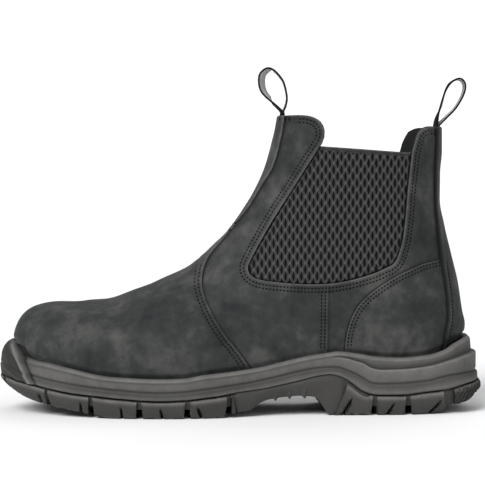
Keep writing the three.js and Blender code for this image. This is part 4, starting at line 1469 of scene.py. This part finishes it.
@dataclass
class PullLoop:
    """Webbing pull loop standing on the collar: dark outside, pale inside."""

    name: str
    node: str
    foot: tuple[float, float, float]
    route: Column
    outside: bpy.types.Material
    inside: bpy.types.Material
    shift: float
    twist: float
    width_steps: int = 14
    pitch: float = 0.7

    def path(self) -> Array:
        """Middle line of the tape in the side view.

        Returns:
            Evenly spaced points.
        """
        along, height, slope = self.foot
        centre = np.array([last_x(along), height * COLLAR_HEIGHT])
        half = STRAP_THICKNESS / 2
        bend = centre + LOOP_HEIGHT * np.stack([self.route["across"], self.route["up"]], axis=-1)
        low = centre + (-slope * STRAP_TAIL, -STRAP_TAIL)
        left, right = (self.shift - half, 0), (self.shift + half, 0)
        ends = [low + left, centre + left], [centre + right, low + right]
        return evenly(smooth_polyline(np.array([*ends[0], *bend, *ends[1]]), 8), self.pitch)

    def section(self) -> Array:
        """Rounded cross section of the tape.

        Returns:
            Places across the width and the thickness, both from -1 to 1.
        """
        sides = np.linspace(-1, 1, self.width_steps)
        round_off = np.array([(1.0, 0.55), (1.03, 0.0), (1.0, -0.55)])
        top = np.stack([sides, 1 - 0.06 * np.abs(sides) ** 6], axis=-1)
        bottom = np.stack([sides[::-1], -1 + 0.06 * np.abs(sides[::-1]) ** 6], axis=-1)
        return np.concatenate([top, round_off, bottom, round_off[::-1] * (-1, 1)])

    def build(self) -> bpy.types.Object:
        """Builds the loop.

        Returns:
            The piece.
        """
        line = self.path()
        step = np.gradient(line, axis=0)
        step /= np.linalg.norm(step, axis=1, keepdims=True)
        left = np.stack([-step[:, 1], step[:, 0]], axis=-1)
        collar = self.foot[1] * COLLAR_HEIGHT
        centre = line[line[:, 1] > collar].mean(axis=0)
        free = step_between(line[:, 1], collar + 2, collar + 14)
        leaning = np.zeros_like(line)
        leaning[:, 0] = free * (1.0 + self.twist * np.clip((centre[0] - line[:, 0]) / 6, 0, 1))
        section = self.section()
        section = np.concatenate([section, section[:1]])
        far = (section[:, 0] + 1) / 2
        y = section[:, 0] * STRAP_WIDTH / 2
        thick = section[:, 1] * STRAP_THICKNESS / 2
        flat = line[:, None] + left[:, None] * thick[None, :, None]
        flat = flat + leaning[:, None] * far[None, :, None]
        points = np.stack([flat[..., 0], np.broadcast_to(y, flat.shape[:2]), flat[..., 1]], axis=-1)
        reached = np.arange(len(line)) * self.pitch
        chart = np.stack(np.broadcast_arrays(reached[:, None], y[None], 0.0), axis=-1)
        bm = grid_mesh(points, Marks(chart=chart))
        inner = [face for face in bm.faces if self.faces_inwards(face.index, len(section) - 1)]
        for face in inner:
            face.material_index = 1
        bmesh.ops.remove_doubles(bm, verts=bm.verts, dist=1e-6)
        bmesh.ops.holes_fill(bm, edges=bm.edges, sides=0)
        bmesh.ops.recalc_face_normals(bm, faces=bm.faces)
        piece = smooth_piece(self.name, bm, self.outside)
        piece.data.materials.append(self.inside)
        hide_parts(self.node)
        return piece

    def faces_inwards(self, index: int, columns: int) -> bool:
        """Whether a face of the bent grid looks into the loop."""
        column = index % columns
        return self.width_steps + 3 <= column < 2 * self.width_steps + 2


@dataclass
class Stations:
    """Places along both sides of the sole, with what changes towards toe and heel."""

    places: Array

    @classmethod
    def spaced(cls, pitch: float, extra: Sequence[float] = ()) -> "Stations":
        """Places about an even pitch apart along the outline.

        Args:
            pitch: distance in millimetres.
            extra: places to add.

        Returns:
            The stations.
        """
        fine = np.linspace(0, HEEL_ROW, 1500)
        line = bottom_outline(fine, Side.OUTER, SOLE_REACH * 0.6)
        reached = travelled(line)
        count = int(reached[-1] / pitch)
        places = np.interp(np.linspace(0, reached[-1], count + 1), reached, fine)
        return cls(np.unique(np.concatenate([places, extra])))

    @staticmethod
    def near(centres: Sequence[float], reach: float, pitch: float) -> Array:
        """Closely spaced places round some shares of the last's length.

        Args:
            centres: the shares.
            reach: distance to each side in millimetres.
            pitch: distance between the places in millimetres.

        Returns:
            The places, counted in rows.
        """
        fine = np.linspace(0, HEEL_ROW, 1500)
        along = Stations(fine).along
        offsets = np.arange(-reach, reach + pitch, pitch) / LAST_LENGTH
        return np.interp((np.array(centres)[:, None] + offsets).ravel(), along, fine)

    @property
    def along(self) -> Array:
        """Share of the last's length at each place."""
        column = LAST_BOTTOM["along"]
        return row_value(column, self.places, column[1], column[-2])

    def reach(self, toe: Array | float, side: Array | float, heel: Array | float) -> Array:
        """Reach past the last.

        Args:
            toe: share of the sole's reach at the toe.
            side: share along the side.
            heel: share at the heel.

        Returns:
            Distance in millimetres at each place.
        """
        near_toe = 1 - step_between(self.along, 0, 0.15)
        near_heel = step_between(self.along, 0.85, 1)
        return SOLE_REACH * (side + (toe - side) * near_toe + (heel - side) * near_heel)


def rounded(profile: Array, radius: float, tone: Array, face: Array) -> tuple[Array, Array]:
    """Rounds the corners of a profile that runs down the sole's side.

    Args:
        profile: rings x stations x 2 (reach and height).
        radius: rounding in millimetres.
        tone: the finish's mark at each ring.
        face: its mark on the face below each ring.

    Returns:
        The finer profile and the mark of each of its rings.
    """
    rings, marks = [profile[0]], [tone[0]]
    for k in range(1, len(profile) - 1):
        before, here, after = profile[k - 1], profile[k], profile[k + 1]
        parts = []
        for other in (before, after):
            way = other - here
            length = np.linalg.norm(way, axis=1, keepdims=True) + 1e-9
            parts.append(here + way / length * np.minimum(radius, length * 0.45))
        rings += [parts[0], 0.25 * parts[0] + 0.5 * here + 0.25 * parts[1], parts[1]]
        marks += [(tone[k] + face[k - 1]) / 2, tone[k], (tone[k] + face[k]) / 2]
    return np.stack([*rings, profile[-1]]), np.array([*marks, tone[-1]])


@dataclass
class Midsole:
    """Moulded side wall: rolled lip, bands, toe bumper and heel steps, closed behind."""

    finish: bpy.types.Material
    stations: Stations = field(default_factory=lambda: Stations.spaced(0.85))
    rounding: float = 0.7
    ring_pitch: float = 1.2
    # Height of the bumper's slanting rib at the toe, and its fall over the last's length.
    slant_rib: tuple[float, float] = (31.5, 320.0)
    # Reach that the ledge's two rings gain over the heel.
    ledge_reach: tuple[float, float] = (-0.55, 0.35)
    bumper_edge: Column = field(default_factory=lambda: table("height along", [
        (12, 0.066), (20, 0.057), (28.6, 0.045), (36, 0.032), (41, 0.021), (46, 0.006),
        (50, -0.01),
    ]))

    def bumper(self, height: Array) -> tuple[Array, Array]:
        """How far the toe bumper with its ribs stands out, and its painted highlight and shade for
        the finish.

        Args:
            height: heights of the rings at the stations.

        Returns:
            Distance in millimetres, and the mark.
        """
        edge = line_value(self.bumper_edge["height"], self.bumper_edge["along"], height)
        past = (edge - self.stations.along) * LAST_LENGTH
        within = step_between(past, -0.5, 0.7)
        line = height - (self.slant_rib[0] - self.slant_rib[1] * self.stations.along)
        proud = BUMPER_STEP * 1.25 * within
        proud += 0.9 * hump(past, 1.5, 0.9) * within - 0.9 * hump(past, 4.2, 1.2)
        # Painted highlight on the edge rib and the slanting rib, painted shade just outside the
        # edge; further in, the bumper is painted darker.
        mark = hump(past, 1.3, 0.7) - 1.1 * hump(past, -0.9, 0.7)
        mark -= 0.55 * step_between(past, 2.2, 3.6)
        rib = hump(line, 0.0, 0.75) * step_between(past, 1.0, 3.0)
        top = 1 - 0.85 * step_between(height, 36, 43)
        return (proud + 0.6 * rib) * top, mark + 0.6 * rib

    def ledge(self) -> Array:
        """Where the ledge over the heel shows on the side."""
        return step_between(self.stations.along, 0.67, 0.74)

    def profile(self) -> tuple[Array, Array, Array]:
        """Rings of the visible side.

        Returns:
            Reach, height and the finish's marks.
        """
        s = self.stations
        rings = []
        for i in range(len(MIDSOLE_RINGS["toe"])):
            ring = {name: column[i] for name, column in MIDSOLE_RINGS.items()}
            name = ("rim", "ledge", "band", "parting")[int(ring["line"])]
            reach = s.reach(ring["toe"], ring["side"], ring["heel"])
            reach += dict(zip((2, 3), self.ledge_reach)).get(i, 0.0) * self.ledge()
            height = sole_line(name, s.along) + ring["step"] * SOLE_RISE
            rings.append(np.stack([reach, height], axis=-1))
        profile, tone = rounded(np.stack(rings), self.rounding, MIDSOLE_RINGS["tone"],
                                MIDSOLE_RINGS["face"])
        fine, marks, source = [profile[0]], [tone[0]], [0.0]
        for k in range(1, len(profile)):
            span = np.abs(profile[k] - profile[k - 1]).max()
            count = max(int(span / self.ring_pitch), 1)
            for j in range(1, count + 1):
                t = j / count
                fine.append(profile[k - 1] * (1 - t) + profile[k] * t)
                marks.append(tone[k - 1] * (1 - t) + tone[k] * t)
                source.append((k - 1 + t + 1) / 3)
        profile = np.stack(fine)
        mark = np.array(marks)[:, None] * np.ones(profile.shape[1])
        at = np.array(source)[:, None]
        # Over the heel: painted shade in the ledge's groove and a painted highlight on the band
        # just below it.
        mark += self.ledge() * (0.7 * hump(at, 3.0, 0.35) - 0.9 * hump(at, 2.0, 0.35))
        bumper, bumper_mark = self.bumper(profile[..., 1])
        bumper[0] = 0
        mark = mark * step_between(s.along, 0.02, 0.07) + bumper_mark
        return profile[..., 0] + bumper, profile[..., 1], mark

    def build(self) -> bpy.types.Object:
        """Builds the band.

        Returns:
            The piece.
        """
        s = self.stations
        reach, height, mark = self.profile()
        rim = sole_line("rim", s.along)
        hidden = [(-7.0, sole_line("parting", s.along)), (-2.5, rim - 9.0), (-1.0, rim - 2.0)]
        reach = np.concatenate([reach, [np.full_like(rim, r) for r, _ in hidden], reach[:1]])
        height = np.concatenate([height, [z for _, z in hidden], height[:1]])
        mark = np.concatenate([mark, np.zeros((len(hidden), len(rim))), mark[:1]])
        outline = []
        for r in range(len(reach)):
            outer = bottom_outline(s.places, Side.OUTER, reach[r])
            far = bottom_outline(s.places, Side.INNER, reach[r])[::-1]
            ring = np.concatenate([outer, far])
            z = np.concatenate([height[r], height[r][::-1]])
            outline.append(np.column_stack([ring, z]))
        points = np.stack(outline)
        marks = np.concatenate([mark, mark[:, ::-1]], axis=1)
        bm = grid_mesh(points, Marks(edge=marks))
        bmesh.ops.remove_doubles(bm, verts=bm.verts, dist=1e-6)
        bmesh.ops.recalc_face_normals(bm, faces=bm.faces)
        piece = smooth_piece("midsole_wall", bm, self.finish)
        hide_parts("midsole")
        return piece


@dataclass
class SoleBody:
    """A closed body lofted along the sole through closed cross sections."""

    stations: Stations

    def loft(self, profile: Array, marks: Array, across: int) -> bmesh.types.BMesh:
        """Lofts one body.

        Args:
            profile: rings x stations x 2 from the top down the side.
            marks: rings x stations for the finish.
            across: faces across the underside.

        Returns:
            The closed mesh.
        """
        rings = []
        for side in (Side.OUTER, Side.INNER):
            face = []
            for ring in profile:
                xy = bottom_outline(self.stations.places, side, ring[:, 0])
                face.append(np.column_stack([xy, ring[:, 1]]))
            rings.append(np.stack(face))
        outer, inner = rings
        shares = np.linspace(0, 1, across + 1)[1:-1]
        under = [outer[-1] * (1 - t) + inner[-1] * t for t in shares]
        loop = np.stack([*outer, *under, *inner[::-1], outer[0]])
        plain = np.zeros((len(under), marks.shape[1]))
        mark = np.concatenate([marks, plain, marks[::-1], marks[:1]])
        bm = grid_mesh(loop, Marks(edge=mark))
        bmesh.ops.remove_doubles(bm, verts=bm.verts, dist=2e-6)
        bmesh.ops.dissolve_degenerate(bm, dist=1e-6, edges=bm.edges)
        bmesh.ops.recalc_face_normals(bm, faces=bm.faces)
        return bm


@dataclass
class Outsole:
    """Lugged outsole: a recessed core, and lugs cut from one block by the gaps between them."""

    finish: bpy.types.Material
    recess: float = 2.6
    rounding: float = 0.6
    centre: float = CENTRE_GROOVE * LAST_WIDTH
    arch: tuple[float, float] = (0.484, 0.668)
    web_recess: float = 1.3
    breast: float = 57.0
    flare: float = 0.08
    heel_end: float = 0.947
    kick: float = 0.955
    kick_front: float = 0.968
    rib_pitch: float = 3.4
    rib_lean: float = 0.7
    forefoot_gaps: int = 5
    heel_lugs: int = 3
    arch_ribs: tuple[float, ...] = (0.5662, 0.5976, 0.6307)
    shares: tuple[float, ...] = (0.0, 0.07, 0.16, 0.26, 0.36, 0.45, 0.54, 0.63, 0.72, 0.81,
                                 0.9, 1.0)
    sipes: Column = field(default_factory=lambda: table("along lean", [
        (0.066, 0.1), (0.15, 0), (0.236, -0.05), (0.32, -0.2), (0.4, -0.4), (0.722, 0.6),
        (0.82, 0.6), (0.912, 0.6),
    ]))

    def side_profile(self, s: Stations, top: Array, bottom: Array) -> Array:
        """Rings down the outsole's side between two heights.

        Args:
            s: places along the sole.
            top: height of the upper ring.
            bottom: height of the lower ring.

        Returns:
            Rings x stations x 2.
        """
        parting, tread = sole_line("parting", s.along) - GAP, sole_line("tread", s.along)
        bumper = BUMPER_STEP * (1 - step_between(s.along, 0.03, 0.045))
        drops = OUTSOLE_RINGS["drop"]
        reach = np.stack([s.reach(*(OUTSOLE_RINGS[k][i] for k in ("toe", "side", "heel")))
                          + bumper * (1 - drops[i]) for i in range(len(drops))])
        rings = []
        for share in self.shares:
            z = top + (bottom - top) * share
            drop = np.clip((parting - z) / np.maximum(parting - tread, 1e-6), 0, 1)
            out = np.array([line_value(drops, reach[:, i], drop[i]) for i in range(len(drop))])
            rings.append(np.stack([out, z], axis=-1))
        return np.stack(rings)

    def core(self) -> bpy.types.Object:
        """Recessed body over the lugs, with the ribbed arch.

        Returns:
            The piece.
        """
        s = Stations.spaced(1.6, Stations.near(self.arch_ribs, 2.4, 0.4))
        tread = sole_line("tread", s.along)
        arch = step_between(s.along, self.arch[0] - 0.01, self.arch[0]) * (
            1 - step_between(s.along, self.arch[1] + 0.045, self.arch[1] + 0.055))
        lift = LUG_DEPTH * (1 - arch)
        top = sole_line("parting", s.along) - GAP
        bottom = np.minimum(tread + lift, top - 1.5)
        profile = self.side_profile(s, top, bottom)
        back = self.web_recess * arch + self.recess * (1 - arch)
        profile[..., 0] -= back
        profile[0, :, 0] += back - 1.0
        ribs = sum(hump(s.along * LAST_LENGTH, x * LAST_LENGTH, 0.9) for x in self.arch_ribs) * arch
        profile[-2:, :, 1] -= 1.7 * ribs
        profile[-4:, :, 0] += 0.9 * ribs
        bm = SoleBody(s).loft(profile, np.zeros(profile.shape[:2]), 8)
        piece = smooth_piece("outsole_core", bm, self.finish)
        round_edges(piece, 0.4, 50)
        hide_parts("outsole")
        return piece

    def block(self, kick: bool) -> bmesh.types.BMesh:
        """Full block that lugs are cut from, with the sipes in its side.

        Args:
            kick: whether this is the raised and ribbed rear part.

        Returns:
            The closed mesh.
        """
        extra = Stations.near(self.sipes["along"], 5.0, 0.45)
        if kick:
            extra = np.linspace(HEEL_ROW - 1.6, HEEL_ROW, 60)
        s = Stations.spaced(1.5, extra)
        swoop = step_between(s.along, 0.69, 0.705) * (1 - step_between(s.along, 0.765, 0.775))
        top = sole_line("parting", s.along) - 1.0 - 1.7 * swoop
        tread = sole_line("tread", s.along)
        if kick:
            tread = tread + 5.6 + 8.0 * step_between(s.along, self.kick, 1.0)
        profile = self.side_profile(s, top, tread)
        marks = np.zeros(profile.shape[:2])
        # Painted highlight along the lugs' top edge.
        marks[:4] = np.array([0.4, 1.0, 0.5, 0.1])[:, None]
        if kick:
            outline = bottom_outline(s.places, Side.OUTER, 8.0)
            turned = travelled(outline) - self.rib_lean * profile[..., 1]
            wave = np.sin(turned * 2 * math.pi / self.rib_pitch)
            profile[..., 0] += 0.5 * wave
            # The ribbed rear part is painted darker, with painted shade deepest in the troughs
            # between its ribs.
            marks += 0.3 * wave - 0.45
            return SoleBody(s).loft(profile, marks, 2)
        for along, lean in zip(self.sipes["along"], self.sipes["lean"]):
            for ring, share in enumerate(self.shares):
                slant = lean * (profile[ring, :, 1] - tread - 3.0)
                away = np.abs((s.along - along) * LAST_LENGTH - slant)
                sipe = np.clip(1.5 - away / 0.62, 0, 1) * step_between(share, 0.3, 0.6)
                profile[ring, :, 0] -= (0.8 + 2.4 * share) * sipe
                # Painted shade in the sipes.
                marks[ring] -= 1.3 * sipe
        return SoleBody(s).loft(profile, marks, 2)

    def cut(self, bm: bmesh.types.BMesh, point: Sequence[float], out: Sequence[float]) -> None:
        """Cuts off what lies on the outer side of a plane and closes the cut.

        Args:
            bm: the body.
            point: a point of the plane, in millimetres.
            out: its direction, towards what is removed.
        """
        geom = [*bm.verts, *bm.edges, *bm.faces]
        if not geom:
            return
        place = placed(np.array(point, float))
        found = bmesh.ops.bisect_plane(bm, geom=geom, dist=1e-6, plane_co=Vector(place),
                                       plane_no=Vector(out), clear_outer=True)
        edges = [e for e in found["geom_cut"] if isinstance(e, bmesh.types.BMEdge)]
        if edges:
            bmesh.ops.triangle_fill(bm, use_beauty=True, edges=edges)

    def lug(self, source: bmesh.types.BMesh, planes: Sequence[Plane]) -> bmesh.types.BMesh:
        """Cuts one lug from a copy of the block.

        Args:
            source: the block.
            planes: point and direction of each cut.

        Returns:
            The lug.
        """
        bm = source.copy()
        for point, out in planes:
            self.cut(bm, point, out)
        return bm

    def gap_plane(self, row: int, side: Side, ahead: bool) -> Plane:
        """One wall of a lug gap.

        Args:
            row: row of the gap table.
            side: the side of the boot.
            ahead: whether the kept lug lies ahead of the gap, towards the toe.

        Returns:
            Point and outward direction.
        """
        turn = math.radians(side.value * LUG_GAPS["turn"][row])
        normal = np.array([math.cos(turn), math.sin(turn), 0.0])
        centre = np.array([last_x(LUG_GAPS["along"][row]), side.value * self.centre, 0.0])
        sign = 1 if ahead else -1
        return list(centre - sign * normal * LUG_GAP / 2), list(sign * normal - (0, 0, self.flare))

    def lugs(self) -> bpy.types.Object:
        """All lugs of forefoot and heel, the middle strip and the raised rear part.

        Returns:
            The piece.
        """
        whole = self.block(False)
        arch_front = last_x(self.arch[0])
        half = LUG_GAP / 2
        joined = bmesh.new()
        holder = bpy.data.meshes.new("lug_holder")

        def keep(bm: bmesh.types.BMesh) -> None:
            """Adds a finished lug to the joined mesh.

            Args:
                bm: the lug; freed here.
            """
            bm.to_mesh(holder)
            bm.free()
            joined.from_mesh(holder)

        front_end = ((arch_front, 0, 0), (1, 0, 0.25))
        breast = ((self.breast, 0, 0), (-1, 0, 0.41))
        rear_end = ((last_x(self.heel_end), 0, 0), (1, 0, 0.18))
        for side in Side:
            inward = ((0, side.value * (self.centre + half), 0), (0, -side.value, 0))
            middle = ((0, side.value * 0.01, 0), (0, -side.value, 0))
            gaps = self.forefoot_gaps
            for i in range(gaps + 1):
                planes = [inward] + ([self.gap_plane(i - 1, side, False)] if i else [])
                planes.append(self.gap_plane(i, side, True) if i < gaps else front_end)
                keep(self.lug(whole, planes))
            for i in range(self.heel_lugs):
                planes = [middle, breast]
                if i:
                    planes = [inward, self.gap_plane(gaps + i - 1, side, False)]
                rearmost = i == self.heel_lugs - 1
                planes.append(rear_end if rearmost else self.gap_plane(gaps + i, side, True))
                keep(self.lug(whole, planes))
        walls = [((0, self.centre - half, 0), (0, 1, 0)), ((0, -self.centre + half, 0), (0, -1, 0))]
        keep(self.lug(whole, [*walls, front_end]))
        keep(self.lug(whole, [*walls, breast, rear_end]))
        whole.free()
        rear = self.block(True)
        keep(self.lug(rear, [((last_x(self.kick_front), 0, 0), (-1, 0, -0.1))]))
        rear.free()
        bpy.data.meshes.remove(holder)
        piece = smooth_piece("outsole_lugs", joined, self.finish)
        round_edges(piece, 0.45, 42)
        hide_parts("outsole")
        return piece

    def build(self) -> list[bpy.types.Object]:
        """Builds core and lugs.

        Returns:
            The pieces.
        """
        return [self.core(), self.lugs()]


@dataclass
class Footbed:
    """Insole: a flat footbed with a rounded edge."""

    finish: bpy.types.Material
    reach: float = -5.6
    thickness: float = 4.0

    def build(self) -> bpy.types.Object:
        """Builds the insole.

        Returns:
            The piece.
        """
        stations = Stations.spaced(2.5)
        floor = seat_height(stations.along) + GAP
        rings = [(-3.0, self.thickness), (-0.8, self.thickness - 0.2), (0.0, self.thickness - 1.2),
                 (0.0, 0.8), (-0.6, 0.0)]
        profile = np.stack([np.column_stack([np.full_like(floor, self.reach + r), floor + z])
                            for r, z in rings])
        bm = SoleBody(stations).loft(profile, np.zeros(profile.shape[:2]), 6)
        piece = smooth_piece("footbed", bm, self.finish)
        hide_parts("insole")
        return piece


@dataclass
class Studio:
    """Pale floor, soft lights and the photograph's camera."""

    azimuth: float = -3.0
    elevation: float = 2.0
    distance: float = 1.2
    target: tuple[float, float, float] = (0.00093, 0.00208, 0.107)
    focal_pixels: float = 1859.0
    frame_pixels: int = 485
    glow: float = 0.32

    def camera(self) -> None:
        """Sets up the camera at the photograph's angle."""
        az, el = math.radians(self.azimuth), math.radians(self.elevation)
        back = Vector((math.sin(az) * math.cos(el), -math.cos(az) * math.cos(el), math.sin(el)))
        data = bpy.data.cameras.new("camera")
        data.sensor_width = 36.0
        data.lens = 36.0 * self.focal_pixels / self.frame_pixels
        data.clip_start, data.clip_end = 0.05, 20.0
        camera = bpy.data.objects.new("camera", data)
        camera.location = Vector(self.target) + back * self.distance
        camera.rotation_euler = (-back).to_track_quat("-Z", "Y").to_euler()
        bpy.context.scene.collection.objects.link(camera)
        bpy.context.scene.camera = camera

    def floor(self) -> None:
        """Lays a flat pale floor under the boot."""
        bm = bmesh.new()
        bmesh.ops.create_grid(bm, x_segments=8, y_segments=8, size=6.0)
        mesh = bpy.data.meshes.new("floor")
        bm.to_mesh(mesh)
        bm.free()
        g = Graph("floor_paper")
        at = g.add("TexCoord", out="Object")
        tone = g.ramp(g.noise(at, 3.0, 3.0), [(0.3, (0.9, 0.9, 0.9)), (0.7, (0.92, 0.92, 0.92))])
        mesh.materials.append(g.surface({"Base Color": tone, "Roughness": 0.9,
                                         "Specular IOR Level": 0.1}))
        floor = bpy.data.objects.new("floor", mesh)
        floor.location.z = -0.0004
        bpy.context.scene.collection.objects.link(floor)

    def light(self, name: str, place: Sequence[float], softness: float, strength: float) -> None:
        """Adds one soft light from far away.

        Args:
            name: its name.
            place: the direction that it comes from.
            softness: its width in degrees.
            strength: its irradiance.
        """
        data = bpy.data.lights.new(name, "SUN")
        data.angle, data.energy = math.radians(softness), strength
        lamp = bpy.data.objects.new(name, data)
        lamp.rotation_euler = (-Vector(place)).to_track_quat("-Z", "Y").to_euler()
        bpy.context.scene.collection.objects.link(lamp)

    def sky(self) -> None:
        """White surroundings that light the boot only softly."""
        world = bpy.data.worlds.new("sky")
        world.use_nodes = True
        tree = world.node_tree
        background = tree.nodes["Background"]
        background.inputs["Color"].default_value = (1, 1, 1, 1)
        seen = tree.nodes.new("ShaderNodeLightPath").outputs["Is Camera Ray"]
        strength = tree.nodes.new("ShaderNodeMapRange")
        strength.inputs["To Min"].default_value = self.glow
        strength.inputs["To Max"].default_value = 1.1
        tree.links.new(seen, strength.inputs["Value"])
        tree.links.new(strength.outputs[0], background.inputs["Strength"])
        bpy.context.scene.world = world

    def build(self) -> None:
        """Sets up camera, floor, lights and surroundings."""
        self.camera()
        self.floor()
        self.sky()
        bpy.context.scene.view_settings.view_transform = "Standard"
        self.light("key", (-0.75, -1.05, 1.1), 38.0, 3.1)
        self.light("fill", (0.8, -1.4, 0.8), 60.0, 0.5)
        self.light("back", (0.5, 1.2, 1.4), 50.0, 0.55)


def main() -> None:
    """Builds the boot in the order of its making."""
    logging.basicConfig(level=logging.INFO, format="%(relativeCreated)d ms %(message)s")
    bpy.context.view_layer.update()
    leather = LeatherFinish().build("oiled_leather")
    lining = LeatherFinish(dark=18, mid=23, light=30, grain=600, roughness=0.8).build("lining")
    rubber = RubberFinish().build("side_rubber")
    tread = RubberFinish(level=56, spread=9, painted_highlight_level=108).build("tread_rubber")
    elastic = ElasticFinish().build("gore_elastic")
    tape = WebbingFinish(level=14).build("tape_outside")
    pale = WebbingFinish(level=186).build("tape_inside")
    thread = WebbingFinish(level=6, ribs=3.0).build("thread")
    felt = WebbingFinish(level=70, ribs=0.6).build("footbed_felt")

    form, seams = LastForm(), Seams()
    surfaces = {side: SideMap(form, side) for side in Side}
    leathers = Leathers(form, seams, leather, lining)
    makers: list[Callable[[], object]] = [leathers.build]
    makers += [Gore(side, surfaces[side], seams, elastic).build for side in Side]
    makers.append(Stitching(surfaces, seams, leathers, thread).build)
    makers.append(PullLoop("front_pull_loop", "front_loop", FRONT_FOOT, FRONT_LOOP, tape, pale,
                           shift=-4.1, twist=3.4).build)
    makers.append(PullLoop("rear_pull_loop", "rear_loop", REAR_FOOT, REAR_LOOP, tape, pale,
                           shift=4.2, twist=1.6).build)
    makers += [Midsole(rubber).build, Outsole(tread).build, Footbed(felt).build]
    for make in makers:
        made = make()
        for piece in made if isinstance(made, list) else [made]:
            log.info("%s: %d faces", piece.name, len(piece.data.polygons))
    Studio().build()


if __name__ == "__main__":
    main()
